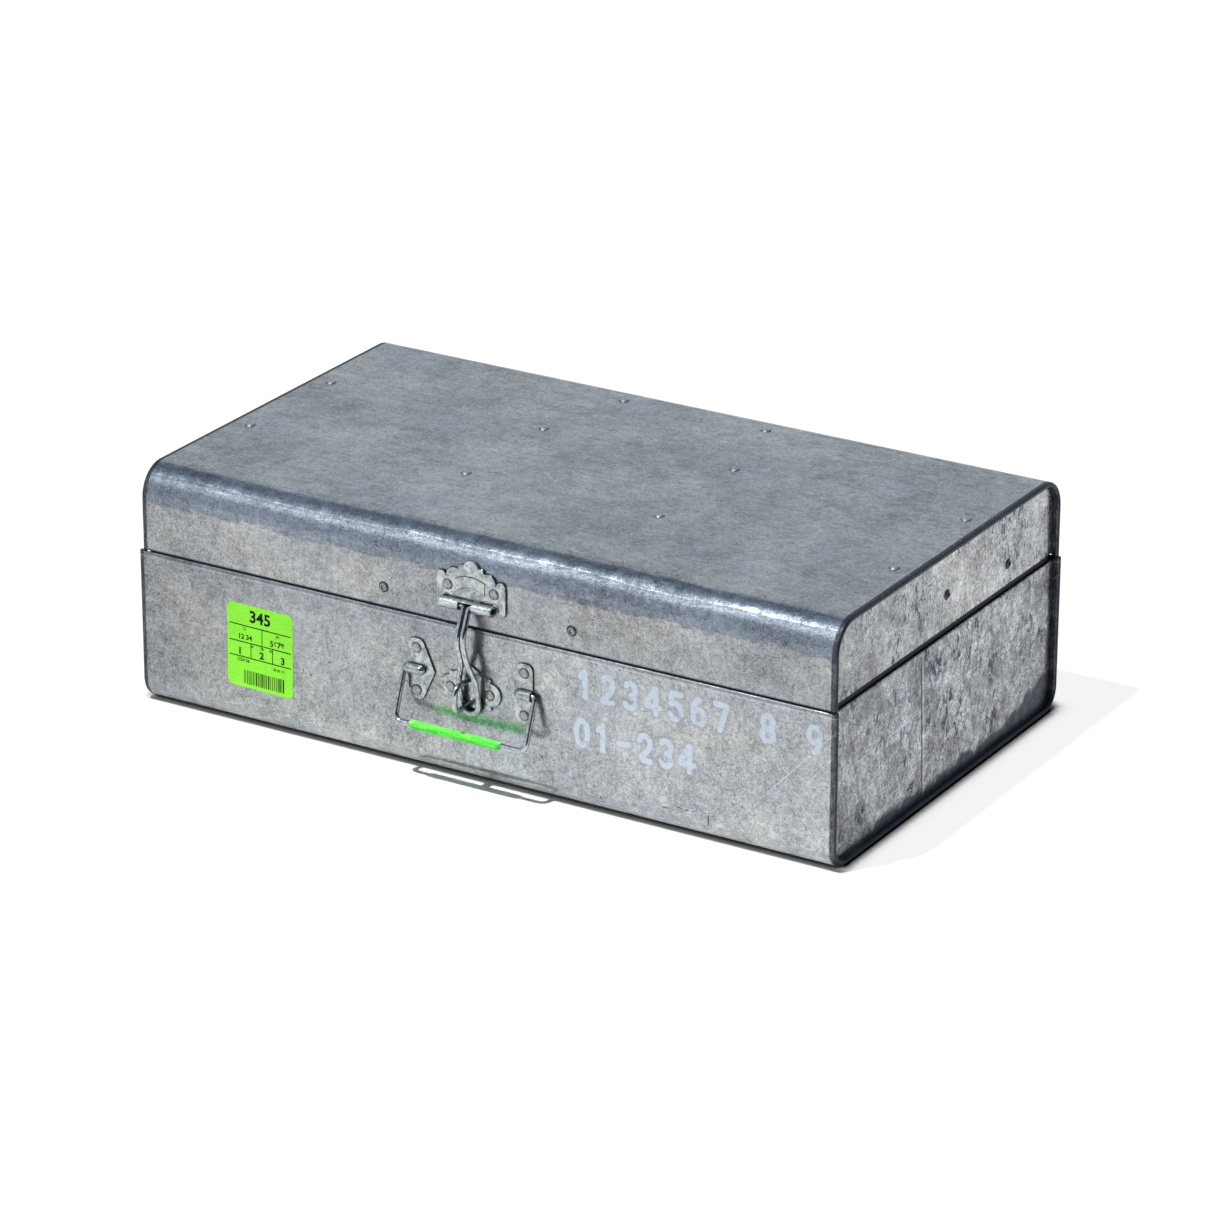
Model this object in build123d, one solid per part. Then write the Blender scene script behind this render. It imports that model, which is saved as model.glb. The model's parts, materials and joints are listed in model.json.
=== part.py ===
"""Small galvanised steel trunk: a base and a hinged lid, each a sheet bent into a U and
closed by two end panels with a standing bead seam; a wire hasp, a wire carrying handle
with a plastic sleeve, two rear hinges, and riveted lips and straps inside the lid.

Millimetres. +X is the trunk's width, -Y its front, +Z up. The origin is the middle of
the underside.
"""

from build123d import *
import math
import os

# ---------------------------------------------------------------- driving dimensions
# Trunk body
trunk_width = 390.0  # over the beads of the base
trunk_depth = 228.0  # front sheet to back sheet of the base
base_height = 80.0  # to the top of the base's rim
lid_height = 42.6  # from the lid's lower edge to its top
sheet = 0.5
base_bend_radius = 12.0
lid_bend_radius = 16.0
lid_inset = 1.3  # the lid's front and ends stand in from the base's
rim_gap = 0.4  # between the closed lid and the base

# Bead seam that joins a wrap sheet to an end panel
bead_radius = 1.4
end_recess = 3.2  # the end panel lies this far inside the bead's crest
seam_clearance = 0.1
flange_turn_radius = 0.6

# Rims
rim_hem_thickness = 1.5
rim_hem_leg = 6.0
base_end_drop = 1.2  # base end panel's rim below the rim of the base
lid_end_lift = 1.6  # lid end panel's edge above the lid's lower edge

# Lips riveted inside the lid, which enter the base
lip_reach = 7.0  # below the base's rim
front_lip_clearance = 1.8  # its upper edge below the tails of the hasp's rivets
end_lip_rise = 25.0
lip_corner_clearance = 1.0
lip_corner_radius = 3.0
end_lip_rear_clearance = 4.0  # ahead of the base's rear hem, which the lip swings past

# Straps under the lid's top
strap_width = 16.0
strap_thickness = 0.8
strap_end_clearance = 2.5
long_strap_y = 36.0
back_strap_width = 12.0
back_strap_clearance = 1.0  # to the start of the lid's rear bend
back_strap_length = 98.0

# Rivets
rivet_head_radius = 2.8
rivet_head_height = 1.1
rivet_shank_radius = 1.5
rivet_tail_radius = 2.3
rivet_tail_height = 0.8
rivet_hole_clearance = 0.05
rivet_dimple_radius = 1.1
rivet_dimple_depth = 0.6
strap_rivet_inner_x = 54.5
strap_rivet_margin = 5.5  # the outer rivets in from the ends of the long straps
back_strap_rivet_x = 41.0
front_lip_rivet_x = 52.5
front_lip_rivet_margin = 5.6  # below the lip's upper edge
end_lip_rivets = ((0.8, 18.6), (64.0, 12.5))  # (y, height above the base's rim)

# Front fittings: one centre line, a little left of the trunk's middle
fitting_x = -2.6
wire_radius = 1.45
wire_clearance = 0.08

# Hasp plate on the lid
hasp_plate_thickness = 1.2
hasp_half_width = 19.1
hasp_below_bend = 15.3  # the knuckle's axis below the start of the lid's bend
hasp_plate_below = 2.8  # the plate's lower edge below the knuckle's axis
hasp_plate_above = 12.6  # its shoulders above the axis
hasp_corner_radius = 2.6
# lobes of the crest: (from the middle, above the axis, radius)
hasp_lobes = ((16.5, 12.3, 2.5), (9.4, 13.2, 4.3), (5.4, 18.0, 1.5), (0.0, 18.3, 4.1))
hasp_crest_half_width = 9.0
hasp_arch_radius = 13.0
hasp_arch_width = 5.4
hasp_arch_half_span = 7.8
hasp_arch_height = 0.35
hasp_arch_drop = 4.0  # the arch's centre below the knuckle's axis
hasp_knuckle_half_length = 14.4
hasp_knuckle_offset_x = -1.3  # the roll lies a little to the left of the plate's middle
hasp_notch_half_width = 3.9
hasp_notch_top = 2.1  # above the knuckle's axis
hasp_rivet_x = 12.9
hasp_rivet_rise = 8.4  # above the knuckle's axis

# Wire link of the hasp, measured down and out from the knuckle's axis
link_end_reach = 12.0  # each end's reach along the knuckle
link_bend_radius = 1.9
link_leg_gap = 0.1
link_bow = (14.6, 8.1)  # (down, out) where the legs' two straight runs would meet
link_bow_radius = 12.0
link_neck = (27.0, 5.0)  # (down, out) where the legs part
link_neck_radius = 14.0
link_eye_half_width = 4.8
link_eye_top = (37.5, 2.9)  # (down, out) where the eye's sides begin
link_shoulder_radius = 10.0
link_eye_bottom_down = 54.1
link_lean = 2.8  # degrees that the link hangs to the right

# Keeper on the base
keeper_thickness = 1.0
keeper_rivet_x = 11.0
keeper_drop = 43.3  # the keeper's middle below the hasp's knuckle
keeper_ear_radius = 5.9
keeper_tip = 13.1  # half the height of the rhombus
keeper_half_flat = 9.0
keeper_step = 8.0
keeper_half_step = 11.6
staple_rises = (-6.6, 6.1)  # the staple's legs from the keeper's middle
staple_reach = 16.4
staple_corner_radius = 4.5
staple_tail_radius = 2.2
staple_tail_height = 0.9
link_keeper_clearance = 0.2

# Carrying handle
handle_below_rim = 26.8  # the handle's axis below the base's rim
handle_axis_clearance = 0.2  # wire to the base's front sheet
handle_half_width = 36.7
handle_drop = 26.3
handle_rest_angle = 21.0  # out from hanging
handle_corner_radius = 4.0
handle_pivot_radius = 1.9
handle_end_clearance = 0.3
sleeve_wall = 0.95
sleeve_length = 52.0
sleeve_offset_x = -2.0
sleeve_clearance = 0.04

# Handle brackets
bracket_thickness = 0.9
bracket_rivet_x = 30.2  # from the fittings' centre line
bracket_rivet_half_pitch = 10.9
bracket_half_height = 15.6
bracket_outer = 4.6
bracket_inner = 10.2
bracket_flat = 3.2  # the upper and lower edges reach this far inward
bracket_corner_radius = 3.4
bracket_point_radius = 1.2
tunnel_wall = 1.0
tunnel_length = 7.0  # without its rounded inner end

# Rear hinges
hinge_from_end = 77.0  # a hinge's middle from the trunk's end
hinge_width = 36.0
hinge_leaf_height = 16.0
hinge_leaf_thickness = 0.9
hinge_leaf_corner_radius = 2.5
hinge_leaf_start = 0.8  # the leaf's root from the pin's axis
hinge_knuckle_radius = 2.2
hinge_pin_radius = 1.25
hinge_pin_clearance = 0.05
hinge_wall_clearance = 0.2  # knuckle to the trunk's back
hinge_knuckle_gap = 0.3
hinge_rivet_x = 11.0
hinge_rivet_drop = 9.6
hinge_pin_head_radius = 1.9
hinge_pin_head = 0.7

# Adhesive label
label_width = 38.4
label_height = 43.8
label_thickness = 0.15
label_corner_radius = 3.2
label_from_end = 70.9  # its middle from the trunk's left end
label_z = 42.4
label_tilt = 1.0

# ---------------------------------------------------------------- derived places
base_front_y = -trunk_depth / 2
back_y = trunk_depth / 2
lid_front_y = base_front_y + lid_inset
lid_bottom_z = base_height + rim_gap
trunk_height = lid_bottom_z + lid_height
lid_depth = back_y - lid_front_y
lid_mid_y = (back_y + lid_front_y) / 2
base_crest_x = trunk_width / 2
lid_crest_x = base_crest_x - lid_inset
lid_end_x = lid_crest_x - end_recess
lid_top_inner_z = trunk_height - sheet
lid_bend_start_z = trunk_height - lid_bend_radius
long_strap_half = lid_end_x - 2 * sheet - strap_end_clearance
back_strap_edge_y = back_y - lid_bend_radius - back_strap_clearance
back_strap_y = back_strap_edge_y - back_strap_width / 2
hasp_axis_z = lid_bend_start_z - hasp_below_bend
hasp_knuckle_radius = wire_radius + wire_clearance + hasp_plate_thickness
hasp_axis_y = lid_front_y - hasp_knuckle_radius
hasp_centre_x = fitting_x + hasp_knuckle_offset_x
hasp_rivet_z = hasp_axis_z + hasp_rivet_rise
front_lip_top_z = hasp_rivet_z - rivet_tail_radius - front_lip_clearance
keeper_z = hasp_axis_z - keeper_drop
staple_z = [keeper_z + rise for rise in staple_rises]
handle_axis_z = base_height - handle_below_rim
handle_axis_y = base_front_y - handle_axis_clearance - wire_radius
hinge_axis_y = back_y + hinge_wall_clearance + hinge_knuckle_radius
hinge_axis_z = base_height + rim_gap / 2
hinge_x = base_crest_x - hinge_from_end
label_x = label_from_end - base_crest_x
rivet_hole_radius = rivet_shank_radius + rivet_hole_clearance
bead_leg = end_recess - bead_radius - seam_clearance
through = 10.0  # any length that passes a sheet with room to spare

OUT_FRONT = Rot(90, 0, 0)  # turns +Z to the front, -Y
OUT_BACK = Rot(-90, 0, 0)
OUT_RIGHT = Rot(0, 90, 0)
OUT_LEFT = Rot(0, -90, 0)


# ---------------------------------------------------------------- sheet-metal helpers
def u_edges(depth, height, bend_radius, inset):
    """The U of a tray seen along X, from the front rim down, along the floor and up."""
    side = depth / 2 - inset
    bend_y = depth / 2 - bend_radius
    bend = bend_radius - inset
    diagonal = bend * math.sqrt(0.5)
    front_mid = (0, -bend_y - diagonal, bend_radius - diagonal)
    back_mid = (0, bend_y + diagonal, bend_radius - diagonal)
    return [
        Line((0, -side, height), (0, -side, bend_radius)),
        ThreePointArc((0, -side, bend_radius), front_mid, (0, -bend_y, inset)),
        Line((0, -bend_y, inset), (0, bend_y, inset)),
        ThreePointArc((0, bend_y, inset), back_mid, (0, side, bend_radius)),
        Line((0, side, bend_radius), (0, side, height)),
    ]


def u_region(depth, height, bend_radius, inset):
    """The face inside the U at this inset, closed across the rim."""
    side = depth / 2 - inset
    edges = u_edges(depth, height, bend_radius, inset)
    return make_face(Curve(edges + [Line((0, side, height), (0, -side, height))]).edges())


def u_band(depth, height, bend_radius, outer, inner):
    """The face between two insets of the U."""
    return u_region(depth, height, bend_radius, outer) - u_region(
        depth, height, bend_radius, inner
    )


def slab_x(face, x_from, x_to):
    """A face in the YZ plane extruded from one X to another."""
    return extrude(Pos(x_from, 0, 0) * face, amount=x_to - x_from, dir=(1, 0, 0))


def turned_edge(depth, height, bend_radius, centre_x, inset, radius, leg):
    """A sheet edge turned back on itself, carried round the U: a half ring and a leg."""
    section_at = Pos(centre_x, -depth / 2 + inset, height)
    half_plane = Pos(radius, 0, 0) * Rectangle(2 * radius, 4 * radius)
    half_ring = (Circle(radius) - Circle(radius - sheet)) & half_plane
    leg_face = Pos(-leg / 2, radius - sheet / 2, 0) * Rectangle(leg, sheet)
    path = Pos(centre_x, 0, 0) * Wire(u_edges(depth, height, bend_radius, inset))
    ring = sweep(section_at * half_ring, path=path)
    return ring + sweep(section_at * leg_face, path=path)


def wrap_sheet(crest_x, depth, height, bend_radius):
    """The sheet that makes a tray's front, floor and back, with a bead at each end."""
    centre_x = crest_x - bead_radius
    band = u_band(depth, height, bend_radius, 0, sheet)
    bead = turned_edge(
        depth, height, bend_radius, centre_x, bead_radius, bead_radius, bead_leg
    )
    return slab_x(band, -centre_x, centre_x) + bead + mirror(bead, about=Plane.YZ)


def end_panel(crest_x, depth, height, bend_radius, rim_drop):
    """The right end panel of a tray: a plate with its flange hooked inside the bead."""
    centre_x = crest_x - bead_radius
    outer_x = crest_x - end_recess
    flange_outer = sheet + seam_clearance
    flange_inner = flange_outer + sheet
    plate_face = u_region(depth, height, bend_radius, flange_outer)
    flange_face = u_band(depth, height, bend_radius, flange_outer, flange_inner)
    plate = slab_x(plate_face, outer_x - sheet, outer_x)
    plate -= Pos(outer_x, 0, height) * Box(
        4 * sheet, depth - 2 * flange_inner, 2 * rim_drop
    )
    panel = plate + slab_x(flange_face, outer_x - sheet, centre_x)
    hook = turned_edge(
        depth,
        height,
        bend_radius,
        centre_x,
        flange_outer + flange_turn_radius,
        flange_turn_radius,
        bead_leg - flange_turn_radius,
    )
    return panel + hook


def rim_hem(length, leg):
    """A rim folded inward, along X: its outer face on y 0, its fold's top on z 0."""
    radius = rim_hem_thickness / 2
    ring = Pos(radius, -radius) * (Circle(radius) - Circle(radius - sheet))
    fold = ring & (Pos(radius, 0) * Rectangle(4 * radius, 2 * radius))
    inner_leg = Pos(rim_hem_thickness - sheet / 2, -radius - leg / 2) * Rectangle(
        sheet, leg
    )
    profile = Plane.YZ * (fold + inner_leg)
    return extrude(profile, amount=length / 2, both=True)


def rivet(grip, dimpled=False):
    """A set rivet along +Z: head outside z 0, shank through the grip, upset tail."""
    sphere_radius = (rivet_head_radius**2 + rivet_head_height**2) / (
        2 * rivet_head_height
    )
    cap = Pos(0, 0, rivet_head_height - sphere_radius) * Sphere(sphere_radius)
    above = Box(4 * rivet_head_radius, 4 * rivet_head_radius, 2 * rivet_head_height)
    head = cap & (Pos(0, 0, rivet_head_height) * above)
    if dimpled:
        dimple = Cylinder(rivet_dimple_radius, 2 * rivet_dimple_depth)
        head -= Pos(0, 0, rivet_head_height) * dimple
    shank = Pos(0, 0, -grip / 2) * Cylinder(rivet_shank_radius, grip)
    tail = Pos(0, 0, -grip - rivet_tail_height / 2) * Cylinder(
        rivet_tail_radius, rivet_tail_height
    )
    return head + shank + tail


def rivet_holes(part, spots, turn):
    """The part with a clearance hole at each rivet's place."""
    for spot in spots:
        part -= Pos(*spot) * turn * Cylinder(rivet_hole_radius, through)
    return part


def rivet_set(spots, turn, grip, dimpled=False):
    """Like rivets as separate solids."""
    return [Pos(*spot) * turn * rivet(grip, dimpled) for spot in spots]


def front_plate(sketch, face_y, thickness):
    """A sketch in X and Z made into a plate that stands on a front face."""
    plane = Plane(origin=(0, face_y, 0), x_dir=(1, 0, 0), z_dir=(0, -1, 0))
    return extrude(plane * sketch, amount=thickness)


# ---------------------------------------------------------------- rivet places
bracket_x = {"left": fitting_x - bracket_rivet_x, "right": fitting_x + bracket_rivet_x}
bracket_face_y = base_front_y - bracket_thickness
bracket_spots = {
    side: [
        (x, bracket_face_y, handle_axis_z + up * bracket_rivet_half_pitch)
        for up in (-1, 1)
    ]
    for side, x in bracket_x.items()
}
keeper_spots = [
    (fitting_x + side * keeper_rivet_x, base_front_y - keeper_thickness, keeper_z)
    for side in (-1, 1)
]
staple_spots = [(fitting_x, base_front_y, z) for z in staple_z]
hasp_spots = [
    (fitting_x + side * hasp_rivet_x, lid_front_y - hasp_plate_thickness, hasp_rivet_z)
    for side in (-1, 1)
]
front_lip_spots = [
    (side * front_lip_rivet_x, lid_front_y, front_lip_top_z - front_lip_rivet_margin)
    for side in (-1, 1)
]
end_lip_spots = {
    "right": [(lid_end_x, y, base_height + rise) for y, rise in end_lip_rivets],
    "left": [(-lid_end_x, y, base_height + rise) for y, rise in end_lip_rivets],
}
strap_rivet_x = (strap_rivet_inner_x, long_strap_half - strap_rivet_margin)
strap_spots = {
    "front": [(s * x, -long_strap_y, trunk_height) for x in strap_rivet_x for s in (-1, 1)],
    "rear": [(s * x, long_strap_y, trunk_height) for x in strap_rivet_x for s in (-1, 1)],
    "back": [(s * back_strap_rivet_x, back_strap_y, trunk_height) for s in (-1, 1)],
}
hinge_spots = {
    level: [
        (
            side * hinge_x + hand * hinge_rivet_x,
            back_y + hinge_leaf_thickness,
            hinge_axis_z + up * hinge_rivet_drop,
        )
        for side in (-1, 1)
        for hand in (-1, 1)
    ]
    for level, up in (("base", -1), ("lid", 1))
}


# ---------------------------------------------------------------- base
def base_shell():
    """Front, floor and back of the base, with hemmed rims, beads and rivet holes."""
    shell = wrap_sheet(base_crest_x, trunk_depth, base_height, base_bend_radius)
    hem_length = 2 * (base_crest_x - end_recess - rim_hem_thickness)
    fold = rim_hem_thickness / 2
    for side in (-1, 1):
        shell -= Pos(0, side * back_y, base_height) * Box(hem_length, 4 * sheet, 2 * fold)
    hem = Pos(0, base_front_y, base_height) * rim_hem(hem_length, rim_hem_leg)
    shell += hem + mirror(hem, about=Plane.XZ)
    spots = bracket_spots["left"] + bracket_spots["right"] + keeper_spots
    shell = rivet_holes(shell, spots, OUT_FRONT)
    for spot in staple_spots:
        shell -= Pos(*spot) * OUT_FRONT * Cylinder(wire_radius + rivet_hole_clearance, through)
    return rivet_holes(shell, hinge_spots["base"], OUT_BACK)


def base_end():
    """Right end panel of the base, its rim hemmed inward."""
    panel = end_panel(
        base_crest_x, trunk_depth, base_height, base_bend_radius, base_end_drop
    )
    fold = rim_hem_thickness / 2
    outer_x = base_crest_x - end_recess
    rim_z = base_height - base_end_drop
    hem_length = trunk_depth - 4 * rim_hem_thickness
    panel -= Pos(outer_x, 0, rim_z) * Box(4 * sheet, hem_length, 2 * fold)
    hem = Pos(outer_x, 0, rim_z) * Rot(0, 0, 90) * rim_hem(hem_length, rim_hem_leg)
    return panel + hem


# ---------------------------------------------------------------- lid
def as_lid(tray):
    """A tray modelled floor down at the origin, turned over onto the base."""
    return Pos(0, lid_mid_y, trunk_height) * Rot(180, 0, 0) * tray


def lid_shell():
    """Front, top and back of the lid, with beads and rivet holes."""
    shell = as_lid(wrap_sheet(lid_crest_x, lid_depth, lid_height, lid_bend_radius))
    shell = rivet_holes(shell, hasp_spots + front_lip_spots, OUT_FRONT)
    for spots in strap_spots.values():
        shell = rivet_holes(shell, spots, Rot(0, 0, 0))
    return rivet_holes(shell, hinge_spots["lid"], OUT_BACK)


def lid_end():
    """Right end panel of the lid, cut short of the rim, where its lip shows."""
    panel = end_panel(lid_crest_x, lid_depth, lid_height, lid_bend_radius, lid_end_lift)
    return rivet_holes(as_lid(panel), end_lip_spots["right"], OUT_RIGHT)


def front_lip():
    """Strip inside the lid's front that drops behind the base's rim."""
    length = 2 * (lid_end_x - 2 * sheet - lip_corner_clearance)
    low_z = base_height - lip_reach
    height = front_lip_top_z - low_z
    face_y = lid_front_y + sheet
    strip = front_plate(RectangleRounded(length, height, lip_corner_radius), face_y, -sheet)
    strip = Pos(0, 0, low_z + height / 2) * strip
    return rivet_holes(strip, front_lip_spots, OUT_FRONT)


def end_lip():
    """Strip inside the lid's right end, behind the gap between the end panels."""
    front = lid_front_y + 2 * sheet + lip_corner_clearance
    back = back_y - rim_hem_thickness - end_lip_rear_clearance
    height = lip_reach + end_lip_rise
    face = RectangleRounded(back - front, height, lip_corner_radius)
    strip = extrude(Plane.YZ * face, amount=-sheet)
    middle_z = base_height - lip_reach + height / 2
    strip = Pos(lid_end_x - sheet, (front + back) / 2, middle_z) * strip
    return rivet_holes(strip, end_lip_spots["right"], OUT_RIGHT)


def lid_strap(length, width, y, spots):
    """A flat strap riveted under the lid's top."""
    plan = Pos(0, y, lid_top_inner_z) * RectangleRounded(length, width, width / 4)
    return rivet_holes(extrude(plan, amount=-strap_thickness), spots, Rot(0, 0, 0))


def long_strap(side, spots):
    """A strap the length of the lid, between the end lips."""
    return lid_strap(2 * long_strap_half, strap_width, side * long_strap_y, spots)


# ---------------------------------------------------------------- hasp
def hasp_plate():
    """Scalloped plate on the lid, its lower edge rolled into the link's knuckle."""
    body_height = hasp_plate_above + hasp_plate_below
    body = Pos(0, hasp_plate_above - body_height / 2) * RectangleRounded(
        2 * hasp_half_width, body_height, hasp_corner_radius
    )
    crest = [Pos(side * x, z) * Circle(r) for x, z, r in hasp_lobes for side in (-1, 1)]
    infill = Pos(0, hasp_rivet_rise) * Rectangle(
        2 * hasp_crest_half_width, 2 * hasp_crest_half_width
    )
    centre = Pos(fitting_x, hasp_axis_z)
    plate = front_plate(centre * (body + crest + infill), lid_front_y, hasp_plate_thickness)
    plate += hasp_arch(centre)
    return rivet_holes(plate, hasp_spots, OUT_FRONT) + hasp_knuckle()


def hasp_arch(centre):
    """Plain arched band pressed forward between the rivets."""
    outer_radius = hasp_arch_radius + hasp_arch_width
    ring = Circle(outer_radius) - Circle(hasp_arch_radius)
    sector = ring & (Pos(0, outer_radius) * Rectangle(2 * hasp_arch_half_span, outer_radius))
    face_y = lid_front_y - hasp_plate_thickness
    return front_plate(centre * Pos(0, -hasp_arch_drop) * sector, face_y, hasp_arch_height)


def hasp_knuckle():
    """Rolled tube along X, slotted at the front and below for the link's legs."""
    tube = Cylinder(hasp_knuckle_radius, 2 * hasp_knuckle_half_length)
    tube -= Cylinder(wire_radius + wire_clearance, 3 * hasp_knuckle_half_length)
    tube = Pos(hasp_centre_x, hasp_axis_y, hasp_axis_z) * OUT_RIGHT * tube
    slot_height = 2 * through
    slot_depth = 2 * hasp_knuckle_radius - hasp_plate_thickness
    slot_at = Pos(
        hasp_centre_x,
        hasp_axis_y - hasp_knuckle_radius + slot_depth / 2,
        hasp_axis_z + hasp_notch_top - slot_height / 2,
    )
    return tube - slot_at * Box(2 * hasp_notch_half_width, slot_depth, slot_height)


def link_point(x, down, out):
    """A place on the link, from its middle, with the lean about the knuckle's middle."""
    lean = math.radians(link_lean)
    across = x * math.cos(lean) + down * math.sin(lean)
    below = down * math.cos(lean) - x * math.sin(lean)
    return Vector(hasp_centre_x + across, hasp_axis_y - out, hasp_axis_z - below)


def link_eye_low():
    """Where the eye's sides end, (down, out), on a line that just clears the keeper."""
    keeper_face_y = base_front_y - keeper_thickness
    bottom_out = hasp_axis_y - keeper_face_y + link_keeper_clearance + wire_radius
    top_down, top_out = link_eye_top
    slope = (bottom_out - top_out) / (link_eye_bottom_down - top_down)
    down = link_eye_bottom_down - link_eye_half_width
    return down, top_out + slope * (down - top_down)


def link_side(side):
    """Centre line of one half of the link: end, leg, bow, neck and side of the eye."""
    leg_x = wire_radius + link_leg_gap / 2
    corners = [
        link_point(side * leg_x, 0, 0),
        link_point(side * leg_x, *link_bow),
        link_point(side * leg_x, *link_neck),
        link_point(side * link_eye_half_width, *link_eye_top),
    ]
    end = Vector(hasp_centre_x + side * link_end_reach, hasp_axis_y, hasp_axis_z)
    low = link_point(side * link_eye_half_width, *link_eye_low())
    radii = [link_bend_radius, link_bow_radius, link_neck_radius, link_shoulder_radius]
    return FilletPolyline(end, *corners, low, radius=radii)


def hasp_link():
    """Bowed wire link whose eye drops over the staple."""
    right, left = link_side(1), link_side(-1)
    eye = TangentArc(right @ 1, left @ 1, tangent=right % 1)
    path = Wire(right.edges() + [eye] + left.edges())
    start = Plane(origin=path @ 0, z_dir=path % 0)
    return sweep(start * Circle(wire_radius), path=path)


# ---------------------------------------------------------------- keeper
def keeper_plate():
    """Rhombus with stepped corners and two round ears, which carries the staple."""
    quarter = [
        (0, keeper_tip),
        (keeper_half_flat, keeper_step),
        (keeper_half_step, keeper_step),
        (keeper_half_step, 0),
    ]
    right = quarter + [(x, -z) for x, z in reversed(quarter[:-1])]
    outline = right + [(-x, z) for x, z in reversed(right[1:-1])]
    body = make_face(Polyline(*outline, close=True).edges())
    ears = [Pos(side * keeper_rivet_x, 0) * Circle(keeper_ear_radius) for side in (-1, 1)]
    centre = Pos(fitting_x, keeper_z)
    plate = front_plate(centre * (body + ears), base_front_y, keeper_thickness)
    plate = rivet_holes(plate, keeper_spots, OUT_FRONT)
    for spot in staple_spots:
        plate -= Pos(*spot) * OUT_FRONT * Cylinder(wire_radius + rivet_hole_clearance, through)
    return plate


def keeper_staple():
    """Square-cornered U of wire through the keeper and the front sheet, upset inside."""
    low, high = staple_z
    inner_y = base_front_y + sheet
    outer_y = base_front_y - staple_reach + wire_radius
    points = [(0, inner_y, low), (0, outer_y, low), (0, outer_y, high), (0, inner_y, high)]
    path = FilletPolyline(*points, radius=staple_corner_radius).wire()
    rod = sweep(Plane(origin=path @ 0, z_dir=path % 0) * Circle(wire_radius), path=path)
    for _, _, z in staple_spots:
        tail = Cylinder(staple_tail_radius, staple_tail_height)
        rod += Pos(0, inner_y + staple_tail_height / 2, z) * OUT_FRONT * tail
    return Pos(fitting_x, 0, 0) * rod


# ---------------------------------------------------------------- handle
def handle_turned(shape):
    """A shape modelled hanging straight down, swung out to the rest angle."""
    to_axis = Pos(fitting_x, handle_axis_y, handle_axis_z)
    return to_axis * Rot(-handle_rest_angle, 0, 0) * shape


def handle_bail():
    """Wire handle with its two ends turned inward into the brackets."""
    half, drop = handle_half_width, handle_drop
    tunnel_end = bracket_rivet_x + bracket_outer - tunnel_length
    inner = tunnel_end + handle_end_clearance
    corners = [(-inner, 0), (-half, 0), (-half, -drop), (half, -drop), (half, 0), (inner, 0)]
    points = [(x, 0, z) for x, z in corners]
    radii = [handle_pivot_radius, handle_corner_radius, handle_corner_radius, handle_pivot_radius]
    path = FilletPolyline(*points, radius=radii).wire()
    wire = sweep(Plane(origin=path @ 0, z_dir=path % 0) * Circle(wire_radius), path=path)
    return handle_turned(wire)


def handle_sleeve():
    """Plastic sleeve on the grip of the handle."""
    bore = wire_radius + sleeve_clearance
    tube = Cylinder(wire_radius + sleeve_wall, sleeve_length) - Cylinder(bore, 2 * sleeve_length)
    return handle_turned(Pos(sleeve_offset_x, 0, -handle_drop) * OUT_RIGHT * tube)


def handle_bracket():
    """Left bracket: a kite of sheet with a pressed tunnel that traps the handle's end."""
    height, inner, outer = bracket_half_height, bracket_inner, bracket_outer
    flat = bracket_flat
    kite = [(-outer, -height), (flat, -height), (inner, 0), (flat, height), (-outer, height)]
    outline = make_face(Polyline(*kite, close=True).edges())
    point = outline.vertices().sort_by(Axis.X)[-1]
    outline = fillet(point, bracket_point_radius)
    corners = outline.vertices().filter_by(lambda v: abs(v.Y) > height / 2)
    outline = fillet(corners, bracket_corner_radius)
    centre = Pos(bracket_x["left"], handle_axis_z)
    plate = front_plate(centre * outline, base_front_y, bracket_thickness)
    bore = wire_radius + wire_clearance
    outer_radius = bore + tunnel_wall
    hump = Cylinder(outer_radius, tunnel_length) + (
        Pos(0, 0, tunnel_length / 2) * Sphere(outer_radius)
    )
    from_outer = bracket_x["left"] - outer
    hump = Pos(from_outer + tunnel_length / 2, handle_axis_y, handle_axis_z) * OUT_RIGHT * hump
    in_front = Pos(0, base_front_y - through, handle_axis_z) * Box(
        trunk_width, 2 * through, through
    )
    plate += hump & in_front
    bore_length = tunnel_length + handle_half_width - bracket_rivet_x - outer
    hole = Pos(from_outer + tunnel_length - bore_length / 2, handle_axis_y, handle_axis_z)
    plate -= hole * OUT_RIGHT * Cylinder(bore, bore_length)
    return rivet_holes(plate, bracket_spots["left"], OUT_FRONT)


# ---------------------------------------------------------------- hinges
def hinge_leaf(up):
    """One leaf at x 0: +1 is the lid's, with the middle knuckle, -1 the base's."""
    bore = Circle(hinge_pin_radius + hinge_pin_clearance)
    profile = Plane.YZ * (Circle(hinge_knuckle_radius) - bore)
    knuckle = extrude(profile, amount=hinge_width / 2, both=True)
    third = hinge_width / 3
    middle = third - 2 * hinge_knuckle_gap
    clear = 2 * (hinge_knuckle_radius + hinge_knuckle_gap)
    leaf_height = hinge_leaf_height - hinge_leaf_start
    leaf = Pos(0, up * (hinge_leaf_start + leaf_height / 2)) * RectangleRounded(
        hinge_width, leaf_height, hinge_leaf_corner_radius
    )
    leaf += Pos(0, up * (hinge_leaf_start + leaf_height / 4)) * Rectangle(
        hinge_width, leaf_height / 2
    )
    if up > 0:
        knuckle &= Box(middle, through, through)
        leaf -= Rectangle(2 * hinge_width, clear) - Rectangle(middle, clear)
    else:
        knuckle -= Box(third, through, through)
        leaf -= Rectangle(third, clear)
    plane = Plane(origin=(0, back_y, hinge_axis_z), x_dir=(1, 0, 0), z_dir=(0, -1, 0))
    knuckle = Pos(0, hinge_axis_y, hinge_axis_z) * knuckle
    return knuckle + extrude(plane * leaf, amount=-hinge_leaf_thickness)


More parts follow.
